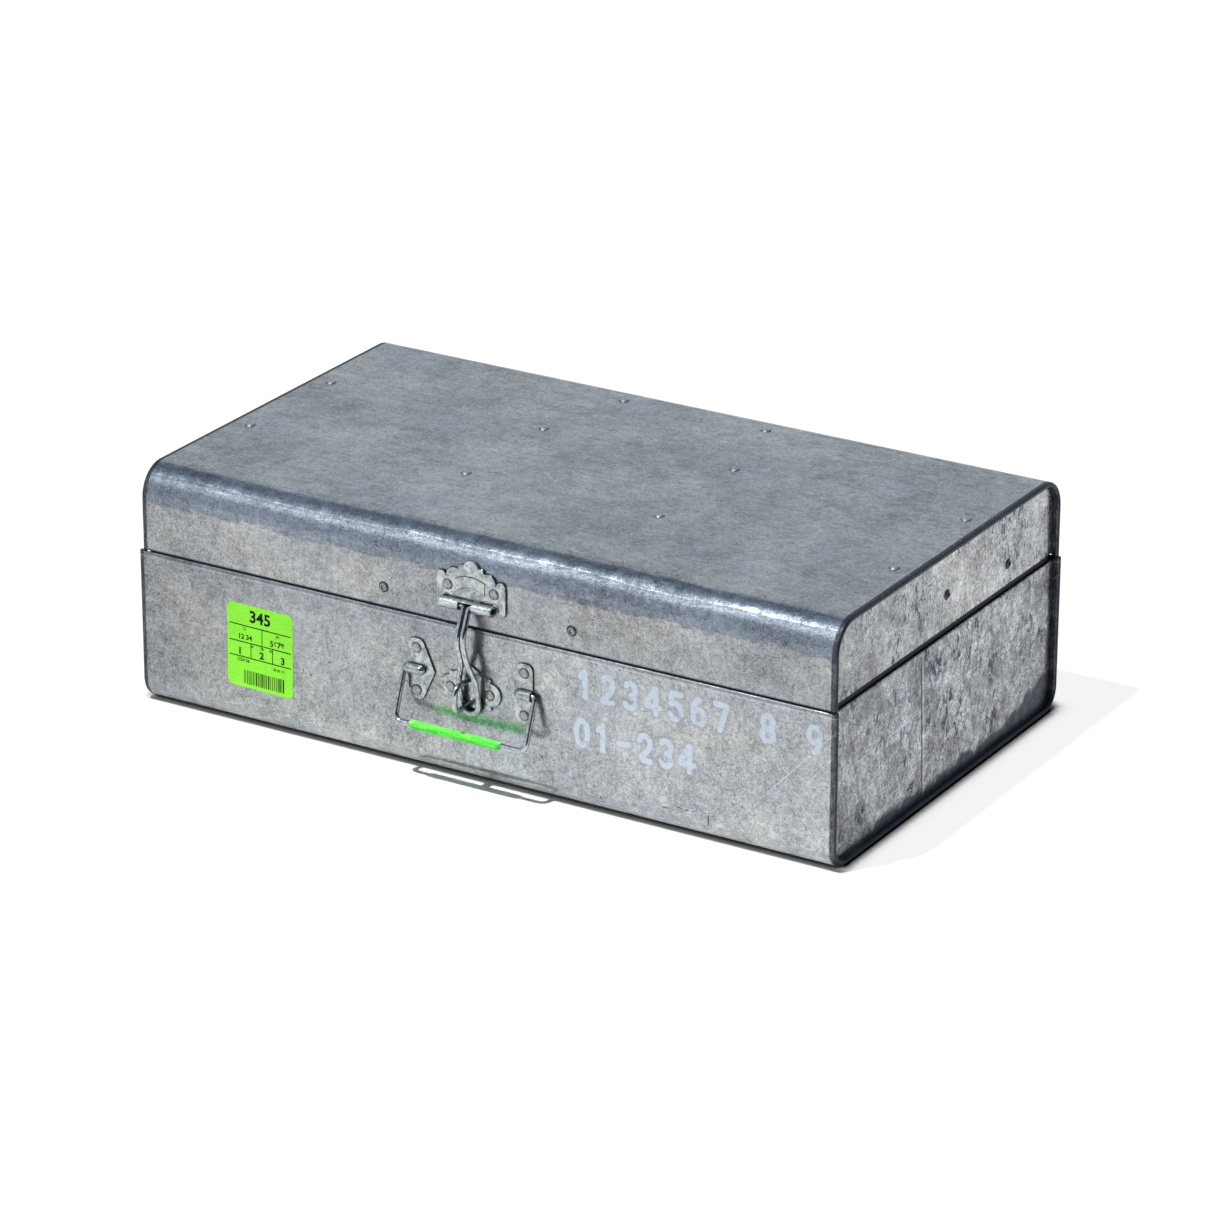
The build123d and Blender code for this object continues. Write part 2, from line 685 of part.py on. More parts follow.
def placed_leaf(side, level):
    """A leaf at its place on the back, with its rivet holes."""
    up = 1 if level == "lid" else -1
    leaf = Pos(side * hinge_x, 0, 0) * hinge_leaf(up)
    return rivet_holes(leaf, hinge_spots[level], OUT_BACK)


def hinge_pin(side):
    """Wire pin with a small upset head at each end."""
    pin = Cylinder(hinge_pin_radius, hinge_width)
    for end in (-1, 1):
        head = Cylinder(hinge_pin_head_radius, hinge_pin_head)
        pin += Pos(0, 0, end * (hinge_width + hinge_pin_head) / 2) * head
    return Pos(side * hinge_x, hinge_axis_y, hinge_axis_z) * OUT_RIGHT * pin


# ---------------------------------------------------------------- label
def address_label():
    """Blank adhesive label on the base's front."""
    outline = RectangleRounded(label_width, label_height, label_corner_radius)
    outline = Pos(label_x, label_z) * Rot(0, 0, -label_tilt) * outline
    return front_plate(outline, base_front_y, label_thickness)


# ---------------------------------------------------------------- all the pieces
def mirrored(shape):
    """The same piece on the other side of the trunk's middle."""
    return mirror(shape, about=Plane.YZ)


def mirrored_at_fittings(shape):
    """The same piece on the other side of the fittings' centre line."""
    return mirror(shape, about=Plane(origin=(fitting_x, 0, 0), z_dir=(1, 0, 0)))


def make_pieces():
    lip_grip = 2 * sheet
    bracket_grip = bracket_thickness + sheet
    right_base_end = base_end()
    right_lid_end = lid_end()
    right_end_lip = end_lip()
    left_bracket = handle_bracket()
    pieces = {
        "base_shell": base_shell(),
        "base_end_right": right_base_end,
        "base_end_left": mirrored(right_base_end),
        "lid_shell": lid_shell(),
        "lid_end_right": right_lid_end,
        "lid_end_left": mirrored(right_lid_end),
        "lid_lip_front": front_lip(),
        "lid_lip_right": right_end_lip,
        "lid_lip_left": mirrored(right_end_lip),
        "lid_strap_front": long_strap(-1, strap_spots["front"]),
        "lid_strap_rear": long_strap(1, strap_spots["rear"]),
        "lid_strap_back": lid_strap(
            back_strap_length, back_strap_width, back_strap_y, strap_spots["back"]
        ),
        "hasp_plate": hasp_plate(),
        "hasp_link": hasp_link(),
        "keeper_plate": keeper_plate(),
        "keeper_staple": keeper_staple(),
        "handle_bracket_left": left_bracket,
        "handle_bracket_right": mirrored_at_fittings(left_bracket),
        "handle_bail": handle_bail(),
        "handle_sleeve": handle_sleeve(),
        "address_label": address_label(),
        "lid_strap_rivets": [
            one
            for spots in strap_spots.values()
            for one in rivet_set(spots, Rot(0, 0, 0), sheet + strap_thickness)
        ],
        "lid_lip_rivets": rivet_set(front_lip_spots, OUT_FRONT, lip_grip, dimpled=True)
        + rivet_set(end_lip_spots["right"], OUT_RIGHT, lip_grip, dimpled=True)
        + rivet_set(end_lip_spots["left"], OUT_LEFT, lip_grip, dimpled=True),
        "hasp_plate_rivets": rivet_set(hasp_spots, OUT_FRONT, hasp_plate_thickness + sheet),
        "keeper_rivets": rivet_set(keeper_spots, OUT_FRONT, keeper_thickness + sheet),
        "handle_bracket_rivets": rivet_set(
            bracket_spots["left"] + bracket_spots["right"], OUT_FRONT, bracket_grip
        ),
        "hinge_rivets_base": rivet_set(
            hinge_spots["base"], OUT_BACK, hinge_leaf_thickness + sheet
        ),
        "hinge_rivets_lid": rivet_set(
            hinge_spots["lid"], OUT_BACK, hinge_leaf_thickness + sheet
        ),
    }
    for side, word in ((-1, "left"), (1, "right")):
        pieces[f"hinge_leaf_base_{word}"] = placed_leaf(side, "base")
        pieces[f"hinge_leaf_lid_{word}"] = placed_leaf(side, "lid")
        pieces[f"hinge_pin_{word}"] = hinge_pin(side)
    return pieces


os.makedirs("parts", exist_ok=True)
for name, piece in make_pieces().items():
    solid = Compound(children=piece) if isinstance(piece, list) else piece
    export_step(solid, f"parts/{name}.step")
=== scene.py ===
"""Looks of the small galvanised trunk: finish of every surface, the generic stencil and
label marks, the plastic sleeve, and a plain studio.

Blender's metres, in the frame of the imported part. Shader coordinates are millimetres.
"""

import json
import math
import random

import bpy
from mathutils import Matrix, Vector


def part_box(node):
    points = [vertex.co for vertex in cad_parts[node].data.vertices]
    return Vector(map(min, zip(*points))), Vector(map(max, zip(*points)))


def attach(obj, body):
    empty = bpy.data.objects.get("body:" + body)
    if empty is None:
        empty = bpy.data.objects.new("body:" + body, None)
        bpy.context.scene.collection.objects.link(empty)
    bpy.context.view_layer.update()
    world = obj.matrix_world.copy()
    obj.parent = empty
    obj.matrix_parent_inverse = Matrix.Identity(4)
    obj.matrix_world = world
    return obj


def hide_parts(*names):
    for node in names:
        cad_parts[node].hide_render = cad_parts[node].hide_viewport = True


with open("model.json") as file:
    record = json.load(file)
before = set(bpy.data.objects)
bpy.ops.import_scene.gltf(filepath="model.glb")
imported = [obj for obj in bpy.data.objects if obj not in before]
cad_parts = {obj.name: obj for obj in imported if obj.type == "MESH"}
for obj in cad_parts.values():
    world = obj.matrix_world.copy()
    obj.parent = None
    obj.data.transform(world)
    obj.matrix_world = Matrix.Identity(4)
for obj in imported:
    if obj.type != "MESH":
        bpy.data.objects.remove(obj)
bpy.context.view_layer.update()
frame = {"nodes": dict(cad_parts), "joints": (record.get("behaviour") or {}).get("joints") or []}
NODES = frame["nodes"]
MM = 0.001

# ------------------------------------------------------------------ places, from the frame
BASE_LOW, BASE_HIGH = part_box("base_shell")
LID_LOW, LID_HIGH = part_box("lid_shell")
LABEL_LOW, LABEL_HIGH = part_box("address_label")
SLEEVE_LOW, SLEEVE_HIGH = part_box("handle_sleeve")
FRONT_Y = BASE_LOW.y / MM
LID_FRONT_Y = LID_LOW.y / MM
BACK_Y = BASE_HIGH.y / MM
TOP_Z = LID_HIGH.z / MM
END_X = BASE_HIGH.x / MM
LID_BEND = 16.0


def joint(name):
    """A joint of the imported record."""
    return next(j for j in frame["joints"] if j["name"] == name)


HASP_AXIS = Vector(joint("hasp_swing")["pos_m"])
HASP_X = -2.6
HASP_ARCH_DROP = 4.0  # the arch's centre below the knuckle's axis
HASP_ARCH = (13.0, 18.4)  # its inner and outer radius


# ------------------------------------------------------------------ shader helpers
class Net:
    """The node tree of a material or world, with short calls that return sockets."""

    def __init__(self, name, kind="Material"):
        owners = bpy.data.materials if kind == "Material" else bpy.data.worlds
        self.owner = owners.new(name)
        self.owner.use_nodes = True
        self.tree = self.owner.node_tree
        self.tree.nodes.clear()
        self.output = self.tree.nodes.new("ShaderNodeOutput" + kind)
        self.places = {}

    def node(self, kind, **settings):
        """A new node with its settings."""
        made = self.tree.nodes.new(kind)
        for key, value in settings.items():
            setattr(made, key, value)
        return made

    def feed(self, socket, value):
        """Link a socket to an input, or set the input to a number or colour."""
        if isinstance(value, bpy.types.NodeSocket):
            self.tree.links.new(value, socket)
        elif isinstance(value, (tuple, list)) and socket.type == "RGBA":
            socket.default_value = (*value[:3], 1.0)
        else:
            socket.default_value = value

    def math(self, operation, a, b=0.0):
        made = self.node("ShaderNodeMath", operation=operation)
        for socket, value in zip(made.inputs, (a, b)):
            self.feed(socket, value)
        return made.outputs[0]

    def add(self, a, b):
        return self.math("ADD", a, b)

    def sub(self, a, b):
        return self.math("SUBTRACT", a, b)

    def mul(self, a, b):
        return self.math("MULTIPLY", a, b)

    def top(self, *values):
        """The largest of several masks."""
        result = values[0]
        for value in values[1:]:
            result = self.math("MAXIMUM", result, value)
        return result

    def place(self):
        """X, Y, Z in the part's frame, in millimetres, and the vector itself."""
        if not self.places:
            coord = self.node("ShaderNodeTexCoord").outputs["Object"]
            scale = self.node("ShaderNodeVectorMath", operation="SCALE")
            self.feed(scale.inputs[0], coord)
            scale.inputs["Scale"].default_value = 1 / MM
            split = self.node("ShaderNodeSeparateXYZ")
            self.feed(split.inputs[0], scale.outputs[0])
            self.places = dict(zip("xyz", split.outputs))
            self.places["p"] = scale.outputs[0]
        return self.places

    def stretched(self, sizes, turn=(0, 0, 0), shift=(0, 0, 0)):
        """The place divided by a grain size along each axis, after a turn."""
        made = self.node("ShaderNodeMapping", vector_type="POINT")
        self.feed(made.inputs["Vector"], self.place()["p"])
        turned = self.node("ShaderNodeMapping", vector_type="POINT")
        self.feed(turned.inputs["Vector"], made.outputs[0])
        made.inputs["Rotation"].default_value = [math.radians(a) for a in turn]
        made.inputs["Location"].default_value = shift
        turned.inputs["Scale"].default_value = [1 / s for s in sizes]
        return turned.outputs[0]

    def noise(self, sizes, detail=4.0, rough=0.55, turn=(0, 0, 0), shift=(0, 0, 0), warp=0.0):
        """Noise about 0.5, with a grain size in millimetres along each axis."""
        if not isinstance(sizes, (tuple, list)):
            sizes = (sizes,) * 3
        made = self.node("ShaderNodeTexNoise", noise_dimensions="3D")
        self.feed(made.inputs["Vector"], self.stretched(sizes, turn, shift))
        made.inputs["Scale"].default_value = 1.0
        made.inputs["Detail"].default_value = detail
        made.inputs["Roughness"].default_value = rough
        made.inputs["Distortion"].default_value = warp
        return made.outputs["Fac"]

    def ramp(self, value, low, high, to_low=0.0, to_high=1.0):
        """A smooth step of a value from low to high."""
        made = self.node("ShaderNodeMapRange", interpolation_type="SMOOTHSTEP")
        settings = zip(made.inputs[:5], (value, low, high, to_low, to_high))
        for socket, setting in settings:
            self.feed(socket, setting)
        return made.outputs[0]

    def band(self, value, low, high, feather):
        """1 between low and high, fading over the feather."""
        rise = self.ramp(value, low - feather, low + feather)
        fall = self.ramp(value, high - feather, high + feather, 1.0, 0.0)
        return self.mul(rise, fall)

    def mix(self, share, a, b):
        """Colour a where the share is 0 and b where it is 1."""
        made = self.node("ShaderNodeMix", data_type="RGBA")
        self.feed(made.inputs[0], share)
        self.feed(made.inputs[6], a)
        self.feed(made.inputs[7], b)
        return made.outputs[2]

    def between(self, noise, dark, light, low=0.3, high=0.7):
        """A colour from dark to light as the noise goes from low to high."""
        return self.mix(self.ramp(noise, low, high), dark, light)

    def scaled(self, colour, factor):
        """A colour times a number."""
        made = self.node("ShaderNodeVectorMath", operation="SCALE")
        self.feed(made.inputs[0], colour)
        self.feed(made.inputs["Scale"], factor)
        return made.outputs[0]

    def stroke(self, u, v, start, end, width):
        """A mask along a straight scratch from start to end, in the plane of u and v."""
        (u0, v0), (u1, v1) = start, end
        length = math.hypot(u1 - u0, v1 - v0)
        along_u, along_v = (u1 - u0) / length, (v1 - v0) / length
        du, dv = self.sub(u, u0), self.sub(v, v0)
        along = self.add(self.mul(du, along_u), self.mul(dv, along_v))
        across = self.math("ABSOLUTE", self.sub(self.mul(du, along_v), self.mul(dv, along_u)))
        line = self.ramp(across, 0.35 * width, width, 1.0, 0.0)
        return self.mul(line, self.band(along, 0, length, 0.1 * length))

    def spot(self, u, v, centre, size):
        """A soft round mask in the plane of u and v; size may be (across, up)."""
        wide, high = size if isinstance(size, (tuple, list)) else (size, size)
        du = self.mul(self.sub(u, centre[0]), 1 / wide)
        dv = self.mul(self.sub(v, centre[1]), 1 / high)
        distance = self.math("SQRT", self.add(self.mul(du, du), self.mul(dv, dv)))
        return self.ramp(distance, 0.3, 1.0, 1.0, 0.0)

    def crevice(self, reach, low, high):
        """A mask of what lies within a reach in millimetres of something else."""
        made = self.node("ShaderNodeAmbientOcclusion", samples=8)
        made.inputs["Distance"].default_value = reach * MM
        return self.ramp(made.outputs["AO"], low, high, 1.0, 0.0)

    def facing(self):
        """The surface's direction in the part's frame, as three sockets."""
        split = self.node("ShaderNodeSeparateXYZ")
        self.feed(split.inputs[0], self.node("ShaderNodeTexCoord").outputs["Normal"])
        return split.outputs

    def bump(self, height, depth, normal=None):
        """A normal bumped by a height of 0 to 1, with its depth in millimetres."""
        made = self.node("ShaderNodeBump")
        made.inputs["Strength"].default_value = 1.0
        made.inputs["Distance"].default_value = depth * MM
        self.feed(made.inputs["Height"], height)
        if normal is not None:
            self.feed(made.inputs["Normal"], normal)
        return made.outputs[0]

    def surface(self, **sockets):
        """The principled shader, with its sockets by name."""
        shader = self.node("ShaderNodeBsdfPrincipled")
        for name, value in sockets.items():
            self.feed(shader.inputs[name.replace("_", " ")], value)
        self.tree.links.new(shader.outputs[0], self.output.inputs["Surface"])
        return self.owner


# ------------------------------------------------------------------ colours, linear
ZINC = (0.415, 0.425, 0.425)
ZINC_COOL = (0.345, 0.365, 0.385)
# slate oxide round the lid's bends, partly a painted dark reflection
SLATE_OXIDE_AND_REFLECTION = (0.175, 0.205, 0.25)
# a darker painted reflection round the lid's bends
SLATE_DARK_REFLECTION = (0.085, 0.105, 0.14)
# painted shade under the base's joint
SLATE_RIM_SHADE = (0.24, 0.27, 0.32)
# pale frosted wear and scratches, also painted highlights on the lid's bends, the base's rim and
# the hasp's roll
FROST_WEAR_AND_HIGHLIGHT = (0.82, 0.87, 0.92)
# dark grime, also painted shade in seams, beads and crevices and round the edges of fittings, wires
# and rivets
GRIME_AND_SHADE = (0.013, 0.018, 0.030)
# dark stains of the end panels, also their painted shade and the painted reflection of the floor's
# shadow
NAVY_STAIN_AND_SHADE = (0.020, 0.029, 0.056)
LID_END_GREY = (0.35, 0.365, 0.38)
BASE_END_GREY = (0.29, 0.31, 0.345)
FITTING = ((0.24, 0.275, 0.285), (0.54, 0.575, 0.56))
WIRE = ((0.27, 0.285, 0.31), (0.53, 0.555, 0.58))
RIVET = ((0.27, 0.26, 0.265), (0.47, 0.45, 0.45))
STRAP_RIVET = ((0.25, 0.265, 0.28), (0.44, 0.46, 0.48))
TUBULAR_RIVET = ((0.28, 0.285, 0.29), (0.52, 0.53, 0.53))
# the lips inside the lid, painted near black as shade
LIP_STEEL_SHADE = ((0.012, 0.013, 0.017), (0.035, 0.037, 0.043))
SLEEVE_GREEN = ((0.035, 0.66, 0.03), (0.16, 0.92, 0.05))
SLEEVE_SCUFF = (0.60, 1.0, 0.42)
# painted shade on the sleeve's side towards the trunk
SLEEVE_REAR_SHADE = (0.01, 0.22, 0.04)
SLEEVE_GLOW = (0.10, 0.80, 0.22)
LABEL_GREEN = ((0.25, 0.88, 0.022), (0.31, 0.98, 0.034))
INK = ((0.006, 0.012, 0.006), (0.014, 0.028, 0.012))
PAINT = ((0.54, 0.62, 0.725), (0.69, 0.765, 0.865))
PAINT_EDGE = (0.30, 0.375, 0.48)
FLOOR_FRONT = (0.84, 0.84, 0.84)
FLOOR_BESIDE = (0.14, 0.14, 0.14)
FLOOR_CONTACT_SHADOW = (0.02, 0.02, 0.022)


# ------------------------------------------------------------------ the galvanised sheet
def sheet_tone(net, flat=0.0, contrast=1.0):
    """Cloud, mottle, crackle, grain and fibre of the zinc, as one factor about 1."""
    cloud = net.noise(70, detail=3)
    mottle = net.noise(13, detail=7, rough=0.68, shift=(40, 7, 3), warp=0.5)
    crackle = net.noise((3.2, 3.2, 2.6), detail=6, rough=0.78, shift=(8, 90, 3), warp=1.0)
    grain = net.noise(0.9, detail=2, rough=0.7)
    drips = net.noise((1.8, 30, 7), detail=4, rough=0.7, shift=(0, 9, 0))
    fibres = net.noise((13, 1.6, 13), detail=5, rough=0.7, turn=(0, 0, 4))
    upright = net.sub(1.0, flat)
    fine = net.ramp(crackle, 0.32, 0.68, -0.22 * contrast, 0.18 * contrast)
    fine = net.add(fine, net.ramp(grain, 0.3, 0.7, -0.18 * contrast, 0.18 * contrast))
    tone = net.add(net.ramp(cloud, 0.3, 0.7, -0.12, 0.12), 1.0)
    tone = net.add(tone, net.ramp(mottle, 0.3, 0.7, -0.14, 0.14))
    tone = net.add(tone, fine)
    tone = net.add(tone, net.mul(upright, net.ramp(drips, 0.34, 0.66, -0.09, 0.08)))
    return net.add(tone, net.mul(flat, net.ramp(fibres, 0.34, 0.66, -0.10, 0.10)))


def bend_angle(net, front_y, bend, up):
    """Degrees round a front or back bend, 0 on the upright sheet and 90 on the flat one."""
    place = net.place()
    side = net.math("ABSOLUTE", net.sub(place["y"], (front_y + BACK_Y) / 2))
    centre_side = (BACK_Y - front_y) / 2 - bend
    centre_z = TOP_Z - bend if up else bend
    out = net.sub(side, centre_side)
    rise = net.sub(place["z"], centre_z) if up else net.sub(centre_z, place["z"])
    angle = net.math("ARCTAN2", rise, out)
    return net.mul(angle, 180 / math.pi)


def lid_bend(net, colour, rough):
    """The slate band round the lid's bends, partly oxide and partly a painted dark reflection, a
    darker painted reflection above it, and a worn, frosted streak along it that is mostly a painted
    highlight.
    """
    place = net.place()
    angle = bend_angle(net, LID_FRONT_Y, LID_BEND, True)
    wander = net.noise((17, 4, 4), detail=7, rough=0.75, shift=(2, 44, 7))
    ragged = net.add(angle, net.ramp(wander, 0.2, 0.8, -10, 10))
    wave = net.noise(60, detail=2, shift=(2, 4, 7))
    angle = net.add(angle, net.ramp(wave, 0.2, 0.8, -4, 4))
    behind = net.ramp(place["y"], -20, 20, 0, 13)
    # painted reflection with oxide: a dark slate band round the bend
    slate_oxide_and_reflection = net.band(net.sub(ragged, behind), -4, 74, 4)
    worn = net.noise((6, 0.9, 0.9), detail=9, rough=0.88, turn=(0, 8, 0), shift=(7, 3, 90))
    wisps = net.noise((3.2, 0.7, 0.7), detail=7, rough=0.88, turn=(0, -14, 9), shift=(1, 8, 2))
    hatch = net.noise((0.7, 2.5, 2.5), detail=4, rough=0.8, turn=(0, 25, 0))
    # painted highlight: a frosted, worn streak and line round the bend, with flecks above, brighter
    # towards the right
    line = net.mul(net.band(angle, 46, 49, 1.6), net.ramp(worn, 0.44, 0.58, 0.1, 1.0))
    highlight_core = net.mul(net.band(angle, 33, 42, 5), net.ramp(worn, 0.44, 0.60, 0.12, 0.9))
    frost_and_highlight = net.mul(net.band(angle, 16, 52, 11), net.ramp(wisps, 0.48, 0.63))
    flecks = net.mul(net.band(angle, 52, 74, 4), net.ramp(wisps, 0.58, 0.66))
    light = net.top(net.mul(highlight_core, 0.85), line, net.mul(frost_and_highlight, 0.5), net.mul(flecks, 0.5))
    light = net.mul(light, net.ramp(hatch, 0.35, 0.6, 0.5, 1.0))
    light = net.mul(light, net.ramp(place["x"], -175, 30, 0.42, 0.60))
    # painted reflection: a darker band above the streak
    dark_reflection_band = net.mul(net.band(angle, 54, 76, 4), net.ramp(worn, 0.4, 0.6, 1.0, 0.6))
    cloudy = net.ramp(worn, 0.3, 0.7, 0.80, 1.22)
    colour = net.mix(net.mul(slate_oxide_and_reflection, 0.88), colour, net.scaled(SLATE_OXIDE_AND_REFLECTION, cloudy))
    colour = net.mix(net.mul(dark_reflection_band, 0.7), colour, SLATE_DARK_REFLECTION)
    colour = net.mix(light, colour, FROST_WEAR_AND_HIGHLIGHT)
    return colour, net.add(rough, net.mul(light, 0.15))


def bead_shade(net, crest_x):
    """Painted shade on the bead: dark in its groove, on its sides, where it faces up and near the
    bottom, with a lighter, worn crest between.
    """
    across = net.math("ABSOLUTE", net.place()["x"])
    turned = net.math("ABSOLUTE", net.facing()["X"])
    worn = net.noise((2, 5, 5), detail=5, rough=0.75, shift=(0, 8, 31))
    on_bead = net.ramp(across, crest_x - 3.3, crest_x - 2.5)
    groove = net.mul(net.band(across, crest_x - 3.2, crest_x - 2.5, 0.35), 0.72)
    side = net.ramp(turned, 0.35, 0.85, 0.0, 0.94)
    above = net.ramp(net.facing()["Z"], 0.2, 0.7, 0.0, 0.97)
    crest = net.top(net.ramp(worn, 0.35, 0.65, 0.92, 0.66), above)
    low = net.ramp(net.place()["z"], 5, 15, 1.0, 0.0)
    return net.mul(on_bead, net.top(groove, side, crest, low))


def sheet_material(name, lid, end):
    """Old galvanised sheet; lid or base, wrap sheet or end panel."""
    net = Net(name)
    place = net.place()
    x, y, z = place["x"], place["y"], place["z"]
    flat = net.ramp(z, TOP_Z - 4, TOP_Z - 0.5) if lid and not end else 0.0
    contrast = (1.8 if lid else 2.4) if end else 1.3
    tone = sheet_tone(net, flat, contrast)
    warm = net.noise(45, detail=4, shift=(9, 60, 2))
    colour = net.between(warm, ZINC, ZINC_COOL, 0.35, 0.65)
    rough_noise = net.noise(6, detail=5, rough=0.65, shift=(3, 3, 30))
    rough = net.ramp(rough_noise, 0.25, 0.75, 0.18, 0.28)
    height = net.add(net.mul(net.noise(38, detail=2), 3.0), net.mul(net.noise(3.2, detail=5), 0.16))

    specks = net.noise(1.9, detail=2, shift=(5, 50, 9))
    patches = net.noise(26, detail=4, rough=0.6, shift=(80, 3, 3))
    marks = net.mul(net.ramp(specks, 0.66, 0.72), net.ramp(patches, 0.46, 0.60))
    scratch_a = net.noise((34, 0.45, 0.45), detail=1, turn=(8, 14, 24))
    scratch_b = net.noise((0.45, 30, 0.45), detail=1, turn=(-14, 6, -18), shift=(30, 3, 5))
    scratches = net.top(net.ramp(scratch_a, 0.735, 0.77), net.ramp(scratch_b, 0.735, 0.77))
    contour = net.math("ABSOLUTE", net.sub(net.noise(9, detail=4, shift=(70, 2, 8)), 0.5))
    hairs = net.mul(net.ramp(contour, 0.0, 0.007, 1.0, 0.0), net.ramp(patches, 0.52, 0.60))
    dark = net.top(net.mul(marks, 0.75), net.mul(hairs, 0.55))
    bright_wear_and_highlight = net.mul(scratches, 0.4)

    if end:
        colour = net.mix(0.5, colour, LID_END_GREY if lid else BASE_END_GREY)
        dark = net.top(dark, lid_end_stains(net) if lid else base_end_stains(net))
        tone = net.mul(tone, end_tone(net, 0.82 if lid else 0.64, 1.16 if lid else 1.12))
        if not lid:
            bright_wear_and_highlight = net.top(bright_wear_and_highlight, end_scratches(net))
    elif lid:
        colour, rough = lid_bend(net, colour, rough)
        tone = net.mul(tone, net.ramp(z, TOP_Z - 18, TOP_Z - 15, 0.84, 1.0))
        # painted shade: a dark line along the lid's lower edge, at the joint's gap
        dark = net.top(dark, net.ramp(z, LID_LOW.z / MM + 0.1, LID_LOW.z / MM + 1.2, 0.95, 0.0))
    else:
        shade = net.ramp(net.sub(x, net.mul(z, 1.1)), -230, 10, 0.80, 1.03)
        tone = net.mul(tone, shade)
        # painted shade: bluish and darker on the base's front just under the joint, most towards
        # the left
        cool = net.mul(net.ramp(z, 62, 79, 0.0, 0.42), net.ramp(x, -60, 90, 1.0, 0.25))
        colour = net.mix(cool, colour, SLATE_RIM_SHADE)
        # painted shade: a dark band just under the joint; painted highlight: a thin pale line on
        # the rim's fold below it
        dark = net.top(dark, front_marks(net), net.mul(net.band(z, 78.3, 79.6, 0.3), 0.32))
        bright_wear_and_highlight = net.top(bright_wear_and_highlight, front_scratches(net), net.mul(net.band(z, 77.6, 78.1, 0.3), 0.2))
        height = net.sub(height, net.mul(net.spot(x, z, (184, 24), (9, 6)), 1.2))

    if not end:
        dark = net.top(dark, bead_shade(net, (LID_HIGH if lid else BASE_HIGH).x / MM))
    metallic = 0.94
    # painted shade and grime within a small reach of other surfaces: seams, the joint, beads,
    # fittings and rivets
    crevice_grime_and_shade = net.mul(net.crevice(1.8, 0.50, 0.95), 0.9)
    # painted light: low on the front's bottom bend the colour is up to about twice as bright and
    # less metallic, and the crevice shade is left out
    if not lid and not end:
        front = net.mul(net.ramp(net.facing()["Y"], -0.3, -0.1, 1.0, 0.0),
                        net.ramp(y, FRONT_Y + 12, FRONT_Y + 16, 1.0, 0.0))
        metallic = net.sub(0.94, net.mul(front, net.ramp(z, 3, 11, 0.79, 0.0)))
        tone = net.mul(tone, net.add(net.mul(front, net.ramp(z, 1.5, 7, 0.95, 0.0)), 1.0))
        crevice_grime_and_shade = net.mul(crevice_grime_and_shade, net.ramp(z, 2.5, 5.0))
    dark = net.top(dark, crevice_grime_and_shade)

    colour = net.scaled(colour, tone)
    colour = net.mix(dark, colour, NAVY_STAIN_AND_SHADE if end else GRIME_AND_SHADE)
    colour = net.mix(bright_wear_and_highlight, colour, FROST_WEAR_AND_HIGHLIGHT)
    metallic = net.mul(metallic, net.ramp(dark, 0.3, 1.0, 1.0, 0.65))
    rough = net.add(rough, net.ramp(dark, 0.3, 1.0, 0.0, 0.18))
    normal = net.bump(height, 0.5)
    fine = net.noise((3.0, 0.7, 0.7), detail=3, rough=0.7)
    normal = net.bump(fine, 0.03, normal=normal)
    return net.surface(
        Base_Color=colour, Metallic=metallic, Roughness=rough, Normal=normal,
        IOR=1.5, Specular_IOR_Level=0.2,
    )


def end_tone(net, dark, pale):
    """Upright stains and pale patches of an end panel, dimmer towards the front."""
    runs = net.noise((30, 7, 13), detail=8, rough=0.72, shift=(0, 21, 6), warp=1.2)
    patches = net.noise((30, 15, 17), detail=7, rough=0.68, shift=(0, 5, 77), warp=1.0)
    tone = net.mul(net.ramp(runs, 0.40, 0.55, dark, pale),
                   net.ramp(patches, 0.42, 0.57, dark + 0.06, 1.14))
    return net.mul(tone, net.ramp(net.place()["y"], -118, -20, 0.80, 1.07))


def end_runs(net):
    """Narrow dark runs and smudges with hard edges."""
    runs = net.noise((9, 4, 9), detail=8, rough=0.78, shift=(0, 51, 16), warp=1.0)
    where = net.noise((40, 22, 28), detail=2, shift=(0, 11, 61))
    return net.mul(net.mul(net.ramp(runs, 0.53, 0.58), net.ramp(where, 0.42, 0.56)), 0.85)


def lid_end_stains(net):
    """Runs, worn specks and a darker smudge on a lid end."""
    place = net.place()
    y, z = place["y"], place["z"]
    specks = net.ramp(net.noise((2, 2.2, 2.2), detail=4, rough=0.75), 0.52, 0.60)
    first = net.spot(y, z, (-22, 108), (16, 9))
    second = net.spot(y, z, (56, 107), (11, 10))
    third = net.spot(y, z, (4, 103), (8, 5))
    return net.top(end_runs(net), net.mul(specks, net.mul(net.top(first, second, third), 0.8)))


